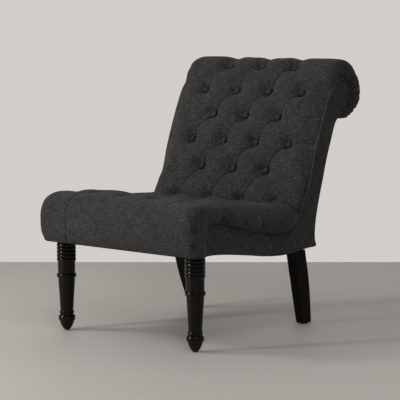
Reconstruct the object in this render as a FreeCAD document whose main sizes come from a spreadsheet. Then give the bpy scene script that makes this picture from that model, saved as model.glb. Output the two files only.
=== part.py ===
import FreeCAD, Part
import math, os
from FreeCAD import Vector as V, Placement, Rotation

# Slipper chair: deep buttoned seat and raked back with a rolled top, turned
# front legs, raked square rear legs.  Front faces -Y, up is +Z, the origin is
# the middle of the footprint on the floor.  Millimetres.

doc = FreeCAD.newDocument("slipper_chair")
sheet = doc.addObject("Spreadsheet::Sheet", "sizes")
SIZES = [
    ("seat_width", 676, "width over the padded seat"),
    ("back_width", 654, "width over the padded back"),
    ("panel_width", 650, "width over the two flat side covers"),
    ("cover_thk", 1.6, "cover cloth with its backing"),
    ("batting_thk", 3.6, "wadding under the cover"),
    ("soft_gap", 0.3, "clearance between soft layers"),
    ("post_thk", 38, "side rail and back post thickness"),
    ("frame_half", 319.5, "outer face of the side frame from the middle"),
    ("rail_thk", 28, "front, rear and back rails"),
    ("front_rail_h", 74, "front rail height"),
    ("rear_rail_h", 52, "rear rail height"),
    ("corner_w", 70, "front corner post, across"),
    ("corner_d", 90, "front corner post, front to back"),
    ("side_pad_thk", 3, "felt on the outside of the side frame"),
    ("roll_rad", 90, "radius of the rolled top over its cover"),
    ("roll_y", 360, "rolled top axis, front to back"),
    ("roll_z", 812, "rolled top axis, height"),
    ("scroll_rad", 49.8, "scroll at the head of the back post"),
    ("slat_w", 30, "roll slat width"),
    ("slat_thk", 10, "roll slat thickness"),
    ("leg_x", 284, "front leg axis from the middle"),
    ("leg_y", -365, "front leg axis, front to back"),
    ("leg_top", 300, "top of the turned front leg"),
    ("glide_thk", 4, "nail-on glide"),
    ("glide_rad", 9, "nail-on glide radius"),
    ("dowel_rad", 4, "frame dowel radius"),
    ("dowel_len", 48, "frame dowel length"),
    ("bolt_rad", 4, "leg bolt radius"),
    ("bore_gap", 0.15, "clearance round bolts and dowels"),
    ("screw_rad", 2.2, "corner block screw radius"),
    ("button_rad", 11, "covered button radius"),
    ("button_thk", 7, "covered button height"),
    ("button_pitch", 142.8, "button spacing along a row"),
    ("twine_rad", 0.9, "button twine radius"),
    ("spring_rad", 1.8, "sinuous spring wire radius"),
    ("spring_pitch", 71.4, "spacing of the seat springs"),
    ("web_w", 50, "webbing width"),
    ("web_thk", 1.2, "webbing thickness"),
    ("board_thk", 3, "outside back board"),
]
S = {}
for i, (alias, value, note) in enumerate(SIZES):
    r = i + 1
    sheet.set("A%d" % r, note)
    sheet.set("B%d" % r, str(value))
    sheet.setAlias("B%d" % r, alias)
    S[alias] = float(value)
doc.recompute()

NODES = []


def keep(obj, label):
    obj.Label = label
    NODES.append(obj)
    return obj


def box(name, l, w, h, pos, rot=None):
    """Part box; l, w, h are numbers or sheet expressions."""
    b = doc.addObject("Part::Box", name)
    for k, v in (("Length", l), ("Width", w), ("Height", h)):
        if isinstance(v, str):
            b.setExpression(k, v)
        else:
            setattr(b, k, v)
    b.Placement = Placement(V(*pos), rot or Rotation())
    return b


def cyl(name, rad, length, pos, direction):
    c = doc.addObject("Part::Cylinder", name)
    for k, v in (("Radius", rad), ("Height", length)):
        if isinstance(v, str):
            c.setExpression(k, v)
        else:
            setattr(c, k, v)
    c.Placement = Placement(V(*pos), Rotation(V(0, 0, 1), V(*direction)))
    return c


def feature(label, shape, place=None):
    f = doc.addObject("Part::Feature", label)
    f.Shape = shape
    f.Placement = place or shape.Placement
    return f


def sketch_on(body, role, name, offset=None):
    sk = body.newObject("Sketcher::SketchObject", name)
    pl = [o for o in body.Origin.OriginFeatures if o.Role == role][0]
    sk.AttachmentSupport = [(pl, "")]
    sk.MapMode = "FlatFace"
    if offset is not None:
        sk.AttachmentOffset = offset
    return sk


def closed_sketch(sk, curves):
    """curves: list of point lists; a list of three or more points is a smooth curve."""
    for pts in curves:
        vs = [V(p[0], p[1], 0) for p in pts]
        if len(vs) == 2:
            sk.addGeometry(Part.LineSegment(vs[0], vs[1]))
        else:
            bs = Part.BSplineCurve()
            bs.interpolate(vs)
            sk.addGeometry(bs)


def poly_lines(pts):
    return [[pts[i], pts[i + 1]] for i in range(len(pts) - 1)]


def padded(name, curves, length_expr, x0=None):
    """Profile in the YZ plane padded along X: about the middle, or from x0."""
    body = doc.addObject("PartDesign::Body", name)
    off = None if x0 is None else Placement(V(0, 0, x0), Rotation())
    sk = sketch_on(body, "YZ_Plane", name + "_outline", off)
    closed_sketch(sk, curves)
    p = body.newObject("PartDesign::Pad", name + "_pad")
    p.Profile = sk
    if isinstance(length_expr, str):
        p.setExpression("Length", length_expr)
    else:
        p.Length = length_expr
    if x0 is None:
        p.Midplane = True
    body.Tip = p
    return body


def cut(name, base, tools):
    c = base
    for i, tool in enumerate(tools):
        last = i == len(tools) - 1
        n = doc.addObject("Part::Cut", name if last else "%s_less_%d" % (name, i))
        n.Base = c
        n.Tool = tool
        c = n
    return c


def bspline(pts):
    bs = Part.BSplineCurve()
    bs.interpolate([V(0, y, z) for y, z in pts])
    return bs


def offset_line(pts, d, n=None):
    """Points of the smooth line through pts, moved d to the right of its direction."""
    bs = bspline(pts)
    params = [bs.parameter(V(0, y, z)) for y, z in pts]
    out = []
    for u in params:
        p, t = bs.value(u), bs.tangent(u)[0]
        out.append((p.y + d * t.z, p.z - d * t.y))
    return out


# ---------------------------------------------------------------- side outlines
SEAM = [(-347, 402), (-270, 394), (-161, 366), (-43, 342), (39, 342), (88, 365), (104, 389),
        (162, 486), (194, 591), (244, 721), (277, 787)]
BOTTOM = [(-366, 305), (-305, 304), (-152, 286), (-69, 274), (16, 267), (43, 267), (157, 279), (203, 286)]
DISC = [(319, 699), (340, 712), (372, 730), (390, 757), (393, 790), (380, 818), (352, 831), (325, 830),
        (300, 812), (277, 787)]
# crown line of the padded seat, front bottom to the crease, and of the back, crease to under the roll
SEAT_LINE = [(-427, 303), (-438, 325), (-445, 358), (-447, 395), (-440, 426), (-420, 450), (-388, 463),
             (-340, 467.5), (-270, 466), (-200, 460), (-130, 450), (-60, 440), (0, 434), (50, 432), (84, 431)]
BACK_LINE = [(90, 430), (104, 446), (120, 474), (135, 510), (150, 550), (164, 591), (181, 637), (200, 685),
             (217, 729), (234, 765), (252, 797), (268, 830), (291, 866), (322, 892), (360, 902.5),
             (399, 895), (430, 870), (446, 838), (449, 806), (446, 770), (432, 739), (400, 716), (362, 703),
             (324, 701)]
RY, RZ = S["roll_y"], S["roll_z"]
G = S["soft_gap"]
T = S["cover_thk"]

# ------------------------------------------------------------------- buttons
P2 = S["button_pitch"] / 2
ODD, EVEN = (-2 * P2, 0, 2 * P2), (-3 * P2, -P2, P2, 3 * P2)
# (y, z, outward normal y, z, columns)
ROWS_BACK = [(321, 868, -0.62, 0.78, ODD), (261, 790, -0.86, 0.51, EVEN), (225, 704, -0.93, 0.36, ODD),
             (201, 613, -0.94, 0.34, EVEN), (160, 525, -0.94, 0.34, ODD)]
ROWS_CREASE = [(90, 440, -0.4, 0.917, EVEN)]
ROWS_SEAT = [(-9, 418, 0.06, 0.998, ODD), (-109, 430, 0.09, 0.996, EVEN), (-208, 442, 0.07, 0.997, ODD),
             (-308, 448, 0.0, 1.0, EVEN)]


def button_places(rows):
    out = []
    for y, z, ny, nz, cols in rows:
        n = V(0, ny, nz)
        n.normalize()
        for x in cols:
            out.append((V(x, y, z), n))
    return out


B_BACK, B_CREASE, B_SEAT = (button_places(r) for r in (ROWS_BACK, ROWS_CREASE, ROWS_SEAT))


def pits(places, level):
    """Funnel round every button, one for each soft layer at its depth below the crown."""
    out = []
    r0 = S["button_rad"] + 1.6 + 0.55 * level
    for p, n in places:
        base = p - n * (4.5 + level)
        out.append(Part.makeCone(r0, r0 + 22, 44, base, n))
    return out


def twine_holes(places, rad, depth):
    return [Part.makeCylinder(rad, depth + 20, p - n * depth, n) for p, n in places]


# ------------------------------------------------------------ padded solids
def soft_solid(name, line, closing, width_alias, level, fillet, grow=0.0):
    """Padded solid whose crown line lies `level` under the cover's face."""
    inner = offset_line(line, level) if level else list(line)
    body = doc.addObject("PartDesign::Body", name)
    sk = sketch_on(body, "YZ_Plane", name + "_outline")
    pts = [inner[-1]] + list(closing) + [inner[0]]
    closed_sketch(sk, [inner] + poly_lines(pts))
    pad = body.newObject("PartDesign::Pad", name + "_pad")
    pad.Profile = sk
    pad.setExpression("Length", "sizes.%s - %g" % (width_alias, 2 * level))
    pad.Midplane = True
    body.Tip = pad
    doc.recompute()
    half = S[width_alias] / 2 - level
    names = []
    for i, e in enumerate(pad.Shape.Edges):
        bb = e.BoundBox
        if abs(abs(bb.XMin) - half) < 0.01 and bb.XLength < 0.01 and e.Length > 600:
            names.append("Edge%d" % (i + 1))
    if fillet > 0 and names:
        f = body.newObject("PartDesign::Fillet", name + "_round")
        f.Base = (pad, names)
        f.Radius = fillet - level
        body.Tip = f
        doc.recompute()
    return body


# each form runs past its seams; the seam lines below trim it
SEAT_END = ((-414, 276), (140, 432), [(140, 276)])
BACK_END = ((72, 409), (296, 699), [(108, 380)])
SEAT_TRIM = [(84, 431), (86, 392), (85, 366), (39, 342), (-43, 342), (-161, 366), (-270, 394), (-347, 402),
             (-362, 396), (-366, 303), (-500, 303), (-500, 600), (84, 600)]
BACK_TRIM = [(324, 701), (340, 712), (372, 730), (390, 757), (393, 790), (380, 818), (352, 831), (325, 830), (300, 812),
             (277, 787), (244, 721), (194, 591), (162, 486), (104, 389), (89, 400), (88.5, 430), (20, 430), (20, 1000),
             (600, 1000), (600, 600), (324, 600)]
FIL_SEAT, FIL_BACK = 34, 24


def region(pts):
    return Part.Face(Part.makePolygon([V(-450, y, z) for y, z in pts + [pts[0]]])).extrude(V(900, 0, 0))


def soft_levels(prefix, line, ends, trim, width_alias, fillet):
    """Pairs of (form, trimmed form) for the cover, its inside, the wadding, its inside and the foam."""
    levels = [0.0, T, T + G, T + G + S["batting_thk"], T + 2 * G + S["batting_thk"]]
    full = [ends[0]] + line + [ends[1]]
    out = []
    for i, lv in enumerate(levels):
        body = soft_solid("%s_form_%d" % (prefix, i), full, ends[2], width_alias, lv, fillet)
        form = body.Shape.copy()
        out.append((lv, form, form.common(region(trim))))
    return out


def box_shape(x0, x1, y0, y1, z0, z1):
    return Part.makeBox(x1 - x0, y1 - y0, z1 - z0, V(x0, y0, z0))


def hollow(outer, inner, places_list, lo, li, holes):
    a = outer.cut(pits(places_list, lo))
    b = inner.cut(pits(places_list, li))
    s = a.cut(b)
    if holes:
        s = s.cut(twine_holes(holes, S["twine_rad"] + 0.5, 30))
    if not s.isValid():
        s.fix(0.01, 0.01, 0.01)
    return s


def biggest(shape, n=1):
    ss = sorted(shape.Solids, key=lambda q: -q.Volume)
    return ss[0] if n == 1 else Part.makeCompound(ss[:n])


seat_lv = soft_levels("seat", SEAT_LINE, SEAT_END, SEAT_TRIM, "seat_width", FIL_SEAT)
back_lv = soft_levels("back", BACK_LINE, BACK_END, BACK_TRIM, "back_width", FIL_BACK)

near_seat = B_SEAT + B_CREASE
near_back = B_BACK + B_CREASE
seat_cover = hollow(seat_lv[0][2], seat_lv[1][1], near_seat, seat_lv[0][0], seat_lv[1][0], B_SEAT)
seat_batting = hollow(seat_lv[2][2], seat_lv[3][1], near_seat, seat_lv[2][0], seat_lv[3][0], B_SEAT)
back_cover = hollow(back_lv[0][2], back_lv[1][1], near_back, back_lv[0][0], back_lv[1][0], B_BACK)
back_batting = hollow(back_lv[2][2], back_lv[3][1], near_back, back_lv[2][0], back_lv[3][0], B_BACK)
keep(feature("seat_cover", biggest(seat_cover)), "seat_cover")
keep(feature("seat_batting", biggest(seat_batting)), "seat_batting")
keep(feature("inside_back_cover", biggest(back_cover)), "inside_back_cover")
keep(feature("back_batting", biggest(back_batting)), "back_batting")

# seat foam: over the deck, and down in front of the front rail
DECK = [(100, 347), (39, 352), (-43, 358), (-161, 370), (-270, 397), (-345, 405), (-421, 405), (-421, 306)]
under_deck = Part.Face(Part.makePolygon([V(-400, y, z) for y, z in DECK] +
                                        [V(-400, -421, 280), V(-400, 140, 280), V(-400, 100, 347)])).extrude(V(800, 0, 0))
foam = seat_lv[4][2].cut(under_deck).cut(pits(near_seat, seat_lv[4][0])).cut(
    twine_holes(B_SEAT, S["twine_rad"] + 0.5, 130))
keep(feature("seat_foam", biggest(foam)), "seat_foam")

# back foam: a flat slab before the back, and a second one bent over the roll
roll_hole = Part.makeCylinder(51.9, 900, V(-450, RY, RZ), V(1, 0, 0))
flush = 319.8
clip = box_shape(-flush, flush, 0, 600, 300, 1000)
bfoam = back_lv[4][2].common(clip).cut(pits(near_back, back_lv[4][0])).cut(
    twine_holes(B_BACK, S["twine_rad"] + 0.5, 130))
# everything inside the scroll and behind the seam line stays clear
seam_back = [(y + 3 * 0.93, z - 3 * 0.36) for y, z in SEAM[6:]]
behind = Part.Face(Part.makePolygon([V(-450, y, z) for y, z in
                                     [(92, 372)] + seam_back + [(300, 806), (320, 740), (334, 698), (334, 640),
                                                                (140, 340), (92, 372)]])).extrude(V(900, 0, 0))
split = 790.0
low = box_shape(-450, 450, 0, 330, 300, split - 0.2)
high = box_shape(-450, 450, 0, 600, 300, 1000).cut(box_shape(-450, 450, 0, 330.2, 300, split + 0.2))
back_foam = bfoam.common(low).cut([roll_hole, behind])
roll_foam = bfoam.common(high).cut(roll_hole).cut(box_shape(-450, 450, 300, 352, 600, 760))
keep(feature("back_foam", biggest(back_foam)), "back_foam")
keep(feature("roll_foam", biggest(roll_foam)), "roll_foam")


# buttons: low domes with a flat back
def button_shape(p, n):
    r, h = S["button_rad"], S["button_thk"]
    s = Part.makeCylinder(r, h)
    s = s.makeFillet(h * 0.75, [e for e in s.Edges if e.BoundBox.ZMin > h - 0.01 and e.BoundBox.XLength > 1])
    s = s.makeFillet(0.8, [e for e in s.Edges if e.BoundBox.ZMax < 0.01 and e.BoundBox.XLength > 1])
    s.Placement = Placement(p - n * 4.2, Rotation(V(0, 0, 1), n))
    return s


for label, places in (("back_buttons", B_BACK), ("crease_buttons", B_CREASE), ("seat_buttons", B_SEAT)):
    keep(feature(label, Part.makeCompound([button_shape(p, n) for p, n in places])), label)


def line_z(pts, y):
    for (y0, z0), (y1, z1) in zip(pts, pts[1:]):
        if (y0 - y) * (y1 - y) <= 0 and y0 != y1:
            return z0 + (z1 - z0) * (y - y0) / (y1 - y0)
    return pts[-1][1]


def line_y(pts, z):
    for (y0, z0), (y1, z1) in zip(pts, pts[1:]):
        if (z0 - z) * (z1 - z) <= 0 and z0 != z1:
            return y0 + (y1 - y0) * (z - z0) / (z1 - z0)
    return pts[-1][0]


# twines run from each button through the padding to a toggle behind the webbing or under the deck
def reach(p, n, kind):
    """Distance from the button back to the far side of the carrier, along the inward normal."""
    for k in range(1, 400):
        q = p - n * (k * 0.5)
        if kind == "seat":
            # 9 mm under the deck line
            if q.z < line_z(list(reversed(DECK[:6])), max(min(q.y, 99.0), -344.0)) - 9:
                return k * 0.5
        elif kind == "roll":
            if math.hypot(q.y - RY, q.z - RZ) < 46:
                return k * 0.5
        else:
            if q.y > line_y(SEAM, max(q.z, 366.0)) + 14:
                return k * 0.5
    return 60.0


twines, toggles, deck_holes, burlap_holes, roll_holes = [], [], [], [], []
CREASE_Y = 87.25  # the crease twines drop straight down between the two covers
for places in (B_BACK, B_CREASE, B_SEAT):
    for p, n in places:
        kind = "seat" if places is B_SEAT or places is B_CREASE else ("roll" if p.z > 850 else "back")
        if places is B_CREASE:
            p, n = V(p.x, CREASE_Y, p.z - 2.2), V(0, 0, 1)
        d = reach(p, n, kind)
        start = p - n * 4.4
        end = p - n * d
        length = (start - end).Length
        twines.append(Part.makeCylinder(S["twine_rad"], length, end, n))
        tog = Part.makeCylinder(4.0, 18, V(-9, 0, 0), V(1, 0, 0))
        tog.translate(end - n * 4.3)
        toggles.append(tog)
        hole = Part.makeCylinder(S["twine_rad"] + 0.5, length + 40, end - n * 12, n)
        {"seat": deck_holes, "back": burlap_holes, "roll": roll_holes}[kind].append(hole)
keep(feature("button_twines", Part.makeCompound(twines)), "button_twines")
keep(feature("twine_toggles", Part.makeCompound(toggles)), "twine_toggles")

# ------------------------------------------------------------------- frame
F = S["frame_half"]


def side_solid(label, curves, sign, thk_alias, outer):
    """Flat shaped board on one side; outer is the distance of its outer face from the middle."""
    thk = S[thk_alias]
    x0 = outer - thk if sign > 0 else -outer
    return padded(label, curves, "sizes." + thk_alias, x0)


RAIL = [(-329.7, 308), (-305, 308), (-152, 290), (-69, 278), (16, 271), (58, 271), (58, 344), (39, 348),
        (-43, 354), (-161, 366), (-270, 386), (-329.7, 390)]
BACKLINE = [(112, 398), (138, 441), (162, 486), (194, 591), (219, 656), (244, 721), (268, 769)]
REAR_IN = [(203, 286), (199, 313), (205, 366), (221, 432), (242, 498), (262, 564), (287, 630), (316, 694)]


def dense(pts, n=25):
    return [(q.y, q.z) for q in bspline(pts).discretize(n)]


post_front = [(108, 386)] + dense(offset_line(BACKLINE, 8.9)) + [(288, 778), (318, 800)]
post_rear = [(330, 745), (318, 712)] + list(reversed(dense(offset_line(REAR_IN, -5.7)))) + [(157, 284), (58.3, 272)]
POST = [(58.3, 272), (58.3, 342), (88, 348)] + post_front + post_rear[:-1]

rail_bits, post_bits = {}, {}
for sign, side in ((-1, "left"), (1, "right")):
    rb = side_solid("side_rail_blank_" + side, poly_lines(RAIL + [RAIL[0]]), sign, "post_thk", F)
    pb = side_solid("post_blank_" + side, poly_lines(POST + [POST[0]]), sign, "post_thk", F)
    disc = cyl("scroll_" + side, "sizes.scroll_rad", "sizes.post_thk",
               (F - S["post_thk"] if sign > 0 else -F, RY, RZ), (1, 0, 0))
    pf = doc.addObject("Part::MultiFuse", "post_fused_" + side)
    pf.Shapes = [pb, disc]
    pf.Refine = True
    rail_bits[sign], post_bits[sign] = rb, pf

# dowels: (centre, direction)
DL = S["dowel_len"]
dowels = []
inner = F - S["post_thk"]
cpost = F - S["corner_w"]
for sign in (-1, 1):
    for z in (326, 360):
        dowels.append(((sign * cpost, -406, z), (1, 0, 0)))
    for x in (291, 310):
        dowels.append(((sign * x, -330, 345), (0, 1, 0)))
    for z in (289, 326):
        dowels.append(((sign * 300.5, 58, z), (0, 1, 0)))
    for z in (287, 321):
        dowels.append(((sign * inner, 119, z), (1, 0, 0)))
    for k in (-12, 12):
        dowels.append(((sign * inner, 141.6 + k * 0.515, 403.2 + k * 0.857), (1, 0, 0)))
        dowels.append(((sign * inner, 269.2 + k * 0.448, 721.6 + k * 0.894), (1, 0, 0)))


def dowel_shape(c, d, extra_r=0.0, extra_l=0.0):
    c, d = V(*c), V(*d)
    L = DL + 2 * extra_l
    return Part.makeCylinder(S["dowel_rad"] + extra_r, L, c - d * (L / 2), d)


dowel_tool = feature("dowel_bores", Part.makeCompound([dowel_shape(c, d, S["bore_gap"], 1.0) for c, d in dowels]))

# front corner posts, rails
corner = {}
for sign, side in ((-1, "left"), (1, "right")):
    corner[sign] = box("corner_blank_" + side, "sizes.corner_w", "sizes.corner_d", 74,
                       (cpost if sign > 0 else -F, -420, 306))
front_blank = box("front_blank", "2 * (sizes.frame_half - sizes.corner_w) - 0.6", "sizes.rail_thk",
                  "sizes.front_rail_h", (-cpost + 0.3, -420, 306))
rear_blank = box("rear_blank", "2 * (sizes.frame_half - sizes.post_thk) - 0.6", "sizes.rail_thk",
                 "sizes.rear_rail_h", (-inner + 0.3, 105, 278))


def tilted_rail(name, h, yc, zc, deg):
    """Cross rail of the back, h tall, centred at (yc, zc) and leaning with the back."""
    rot = Rotation(V(1, 0, 0), -deg)
    corner_at = V(0, yc, zc) - rot.multVec(V(inner - 0.3, S["rail_thk"] / 2, h / 2))
    return box(name, "2 * (sizes.frame_half - sizes.post_thk) - 0.6", "sizes.rail_thk", h, tuple(corner_at), rot)


low_blank = tilted_rail("back_low_blank", 44, 141.6, 403.2, 31)
top_blank = tilted_rail("back_top_blank", 40, 269.2, 721.6, 26.6)
centre_blank = box("centre_blank", 44, 496.4, 22, (-22, -391.7, 0))
centre_blank.Placement = Placement(V(-22, -391.7, 311), Rotation(V(1, 0, 0), -math.degrees(math.atan2(26, 496))))
# the stretcher meets both rails square: its ends are trimmed
trim_f = box("centre_trim_front", 60, 40, 80, (-30, -431.7, 280))
trim_r = box("centre_trim_rear", 60, 60, 120, (-30, 104.7, 240))
centre = cut("centre_stretcher", centre_blank, [trim_f, trim_r])
keep(centre, "centre_stretcher")

# leg fixings
LX, LY = S["leg_x"], S["leg_y"]
front_bolt_bores = [cyl("front_bolt_bore_%d" % i, "sizes.bolt_rad + sizes.bore_gap", 110,
                        (sx * LX, LY, 250), (0, 0, 1)) for i, sx in enumerate((-1, 1))]
REAR_BOLTS = [(160, 292), (178, 322)]
bolt_holes = []
for sx in (-1, 1):
    for (y, z) in REAR_BOLTS:
        bolt_holes.append(Part.makeCylinder(S["bolt_rad"] + S["bore_gap"], 110, V(sx * 230, y, z), V(sx, 0, 0)).fuse(
            Part.makeCylinder(9.5, 30, V(sx * (F - 6.0), y, z), V(sx, 0, 0))))
rear_bolt_tool = feature("rear_bolt_bores", Part.makeCompound(bolt_holes))

# screws of the corner blocks: (centre of head, direction into the frame)
BLOCK = 46


def block_tri(x, y, sx, sy, z, h):
    """Triangular block in the inside corner at (x, y), legs running sx and sy."""
    pts = [V(x, y, z), V(x + sx * BLOCK, y, z), V(x, y + sy * BLOCK, z)]
    return Part.Face(Part.makePolygon(pts + [pts[0]])).extrude(V(0, 0, h))


blocks, screws, screw_bores = [], [], []
for sx in (-1, 1):
    for (bx, by, sy, z, h) in ((sx * (cpost - 0.3), -391.7, 1, 310, 44), (sx * (inner - 0.3), 104.7, -1, 282, 40)):
        blk = block_tri(bx, by, -sx, sy, z, h)
        for j, dz in enumerate((16, h - 12)):
            c = V(bx - sx * BLOCK / 2, by + sy * BLOCK / 2, z + dz)
            # one screw runs to the side member, the other to the cross rail
            d = V(sx, -sy * 0.25, 0) if j == 0 else V(sx * 0.25, -sy, 0)
            d.normalize()
            c = c + (V(0, sy * 8, 0) if j == 0 else V(-sx * 8, 0, 0))
            head = c - d * 1.0
            cs = Part.makeCylinder(5.0, 12, head - d * 12, d)
            sc = Part.makeCylinder(4.5, 2.4, head + d * 0.2, d).fuse(
                Part.makeCylinder(S["screw_rad"], 40, head + d * 0.2, d)).removeSplitter()
            screws.append(sc)
            screw_bores.append(Part.makeCylinder(4.7, 16, head - d * 13.2, d).fuse(
                Part.makeCylinder(4.7, 2.8, head, d)).fuse(
                Part.makeCylinder(S["screw_rad"] + S["bore_gap"], 42.4, head, d)))
        blocks.append(blk)
screw_tool = feature("screw_bores", Part.makeCompound(screw_bores))
block_feat = feature("corner_block_blanks", Part.makeCompound(blocks))

for sign, side in ((-1, "left"), (1, "right")):
    keep(cut("front_corner_post_" + side, corner[sign],
             [dowel_tool, front_bolt_bores[0 if sign < 0 else 1], screw_tool]), "front_corner_post_" + side)
    keep(cut("side_rail_" + side, rail_bits[sign], [dowel_tool, screw_tool]), "side_rail_" + side)
    keep(cut("back_post_" + side, post_bits[sign], [dowel_tool, rear_bolt_tool, screw_tool]), "back_post_" + side)
keep(cut("front_rail", front_blank, [dowel_tool, screw_tool]), "front_rail")
keep(cut("rear_rail", rear_blank, [dowel_tool, screw_tool]), "rear_rail")
keep(cut("back_lower_rail", low_blank, [dowel_tool]), "back_lower_rail")
keep(cut("back_upper_rail", top_blank, [dowel_tool]), "back_upper_rail")
keep(cut("corner_blocks", block_feat, [screw_tool]), "corner_blocks")
keep(feature("corner_block_screws", Part.makeCompound(screws)), "corner_block_screws")
keep(feature("frame_dowels", Part.makeCompound([dowel_shape(c, d) for c, d in dowels])), "frame_dowels")

# roll slats between the two scrolls, and the board bent round them
slats = []
for a in (156, 94, 32, -30, -92):
    w, t = S["slat_w"], S["slat_thk"]
    b = Part.makeBox(2 * inner - 0.6, w, t, V(-(inner - 0.3), -w / 2, 34.5))
    b.Placement = Placement(V(0, RY, RZ), Rotation(V(1, 0, 0), a - 90))
    slats.append(b)
keep(feature("roll_slats", Part.makeCompound(slats)), "roll_slats")
ring = Part.makeCylinder(51.5, 2 * F, V(-F, RY, RZ), V(1, 0, 0)).cut(
    Part.makeCylinder(50.1, 2 * F + 2, V(-F - 1, RY, RZ), V(1, 0, 0)))
gap = Part.Face(Part.makePolygon([V(-F - 1, RY, RZ), V(-F - 1, RY - 160, RZ + 2), V(-F - 1, RY - 160, RZ - 160),
                                  V(-F - 1, RY + 14, RZ - 160), V(-F - 1, RY, RZ)])).extrude(V(2 * F + 2, 0, 0))
roll_board = ring.cut(gap).cut(roll_holes)
keep(feature("roll_board", biggest(roll_board)), "roll_board")

# --------------------------------------------------------------- suspension
SP0, SP1 = (-398.0, 382.0 + S["spring_rad"] + 0.2), (119.0, 330.0 + S["spring_rad"] + 0.8)
sp_len = math.hypot(SP1[0] - SP0[0], SP1[1] - SP0[1])
sp_ang = math.degrees(math.atan2(SP1[1] - SP0[1], SP1[0] - SP0[0]))
sp_place = Placement(V(0, SP0[0], SP0[1]), Rotation(V(1, 0, 0), sp_ang))


def spring(xc):
    """Sinuous wire lying in its own XY plane, running along +Y from the origin."""
    r = 7.2
    n = 35
    step = sp_len / n
    half = 24.0
    segs = []
    y = 0.0
    x = xc - (half - r)
    pts = []
    side = 1
    segs.append(Part.LineSegment(V(x, y, 0), V(xc + side * (half - r), y, 0)).toShape())
    for i in range(n):
        x1 = xc + side * (half - r)
        segs.append(Part.Arc(V(x1, y, 0), V(x1 + side * step / 2, y + step / 2, 0), V(x1, y + step, 0)).toShape())
        y += step
        side = -side
        if i < n:
            segs.append(Part.LineSegment(V(x1, y, 0), V(xc + side * (half - r), y, 0)).toShape())
    w = Part.Wire(segs)
    prof = Part.Wire([Part.makeCircle(S["spring_rad"], V(xc - (half - r), 0, 0), V(1, 0, 0))])
    s = w.makePipeShell([prof], True, False)
    s.Placement = sp_place
    return s


SPRING_X = [k * S["spring_pitch"] for k in (-2.5, -1.5, -0.5, 0.5, 1.5, 2.5)]
springs = [spring(x) for x in SPRING_X]
keep(feature("seat_springs", Part.makeCompound(springs)), "seat_springs")

# clips fold over the end bar of each spring
clips = []
for x in SPRING_X:
    for end in (0, 1):
        y = 0.0 if end == 0 else sp_len
        w = 22
        o = S["spring_rad"]
        outer = Part.makeBox(w, 2 * o + 3.2, 2 * o + 2.4, V(x - w / 2, y - o - 1.6, -o - 0.15))
        outer = outer.cut(Part.makeBox(w + 2, 2 * o + 0.6, 2 * o + 0.6, V(x - w / 2 - 1, y - o - 0.3, -o - 0.3)))
        inner_y0 = y + o + 0.2 if end == 0 else y - o - 2
        outer = outer.cut(Part.makeBox(w + 2, 1.8, 2 * o + 0.3, V(x - w / 2 - 1, inner_y0, -o - 0.3)))
        outer.Placement = sp_place
        clips.append(outer)
keep(feature("spring_clips", Part.makeCompound(clips)), "spring_clips")

ties = []
for d in (135, 235, 340):
    t = Part.makeCylinder(1.4, 2 * 240, V(-240, d, S["spring_rad"] + 1.6), V(1, 0, 0))
    t.Placement = sp_place
    ties.append(t)
keep(feature("spring_tie_wires", Part.makeCompound(ties)), "spring_tie_wires")

# deck cloth over the springs, under the foam
deck_up = [(98, 345.8), (39, 350.8), (-43, 356.8), (-161, 368.8), (-270, 395.6), (-343, 403.6), (-418, 403.6)]
deck_lo = [(y, z - 1.2) for y, z in deck_up]
deck_face = Part.Face(Part.makePolygon([V(-278, y, z) for y, z in deck_up + list(reversed(deck_lo)) + [deck_up[0]]]))
deck = deck_face.extrude(V(556, 0, 0)).cut(deck_holes)
keep(feature("deck_cloth", biggest(deck)), "deck_cloth")


# back: burlap, upright webbing, cross webbing, each a thin layer behind the foam
def layer(pts, d0, d1, x0, x1, z0=None, z1=None):
    a, b = offset_line(pts, d0), offset_line(pts, d1)
    e1 = Part.BSplineCurve()
    e1.interpolate([V(x0, y, z) for y, z in a])
    e2 = Part.BSplineCurve()
    e2.interpolate([V(x0, y, z) for y, z in b])
    w = Part.Wire([e1.toShape(), Part.LineSegment(V(x0, *a[-1]), V(x0, *b[-1])).toShape(), e2.toShape(),
                   Part.LineSegment(V(x0, *b[0]), V(x0, *a[0])).toShape()])
    s = Part.Face(w).extrude(V(x1 - x0, 0, 0))
    if z0 is not None:
        s = s.common(box_shape(-500, 500, -500, 500, z0, z1))
    return s


burlap = layer(BACKLINE, 3.8, 4.6, -316, 316).cut(burlap_holes).cut(twine_holes(B_CREASE, 2.5, 150))
keep(feature("back_burlap", biggest(burlap)), "back_burlap")
ups = []
for x in SPRING_X:
    s = layer(BACKLINE, 4.9, 4.9 + S["web_thk"], x - S["web_w"] / 2, x + S["web_w"] / 2)
    ups.append(s)
keep(feature("back_webbing_upright", Part.makeCompound(ups)), "back_webbing_upright")
across = []
for z in (479, 569, 658, 747):
    s = layer(BACKLINE, 6.4, 6.4 + S["web_thk"], -314, 314, z - S["web_w"] / 2, z + S["web_w"] / 2)
    across.append(s)
keep(feature("back_webbing_cross", Part.makeCompound(across)), "back_webbing_cross")


# --------------------------------------------------------- outside layers
side_poly = BOTTOM[:-1] + dense(offset_line(REAR_IN, 0.3), 18) + DISC[1:] + list(reversed(SEAM))[1:] + [(-364, 400)]


def poly_face(pts, x):
    return Part.Face(Part.makePolygon([V(x, y, z) for y, z in pts + [pts[0]]]))


side_face = poly_face(side_poly, 0)
side_in = side_face.makeOffset2D(-2.5)
for sign, side in ((-1, "left"), (1, "right")):
    half = S["panel_width"] / 2
    body = padded("side_cover_" + side, poly_lines(side_poly + [side_poly[0]]), "sizes.cover_thk",
                  half - T if sign > 0 else -half)
    keep(body, "side_cover_" + side)
    x0 = F + G if sign > 0 else -F - G
    pad = side_in.extrude(V(sign * (S["side_pad_thk"] + 0.0), 0, 0))
    pad.translate(V(x0, 0, 0))
    keep(feature("side_padding_" + side, pad), "side_padding_" + side)

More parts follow.
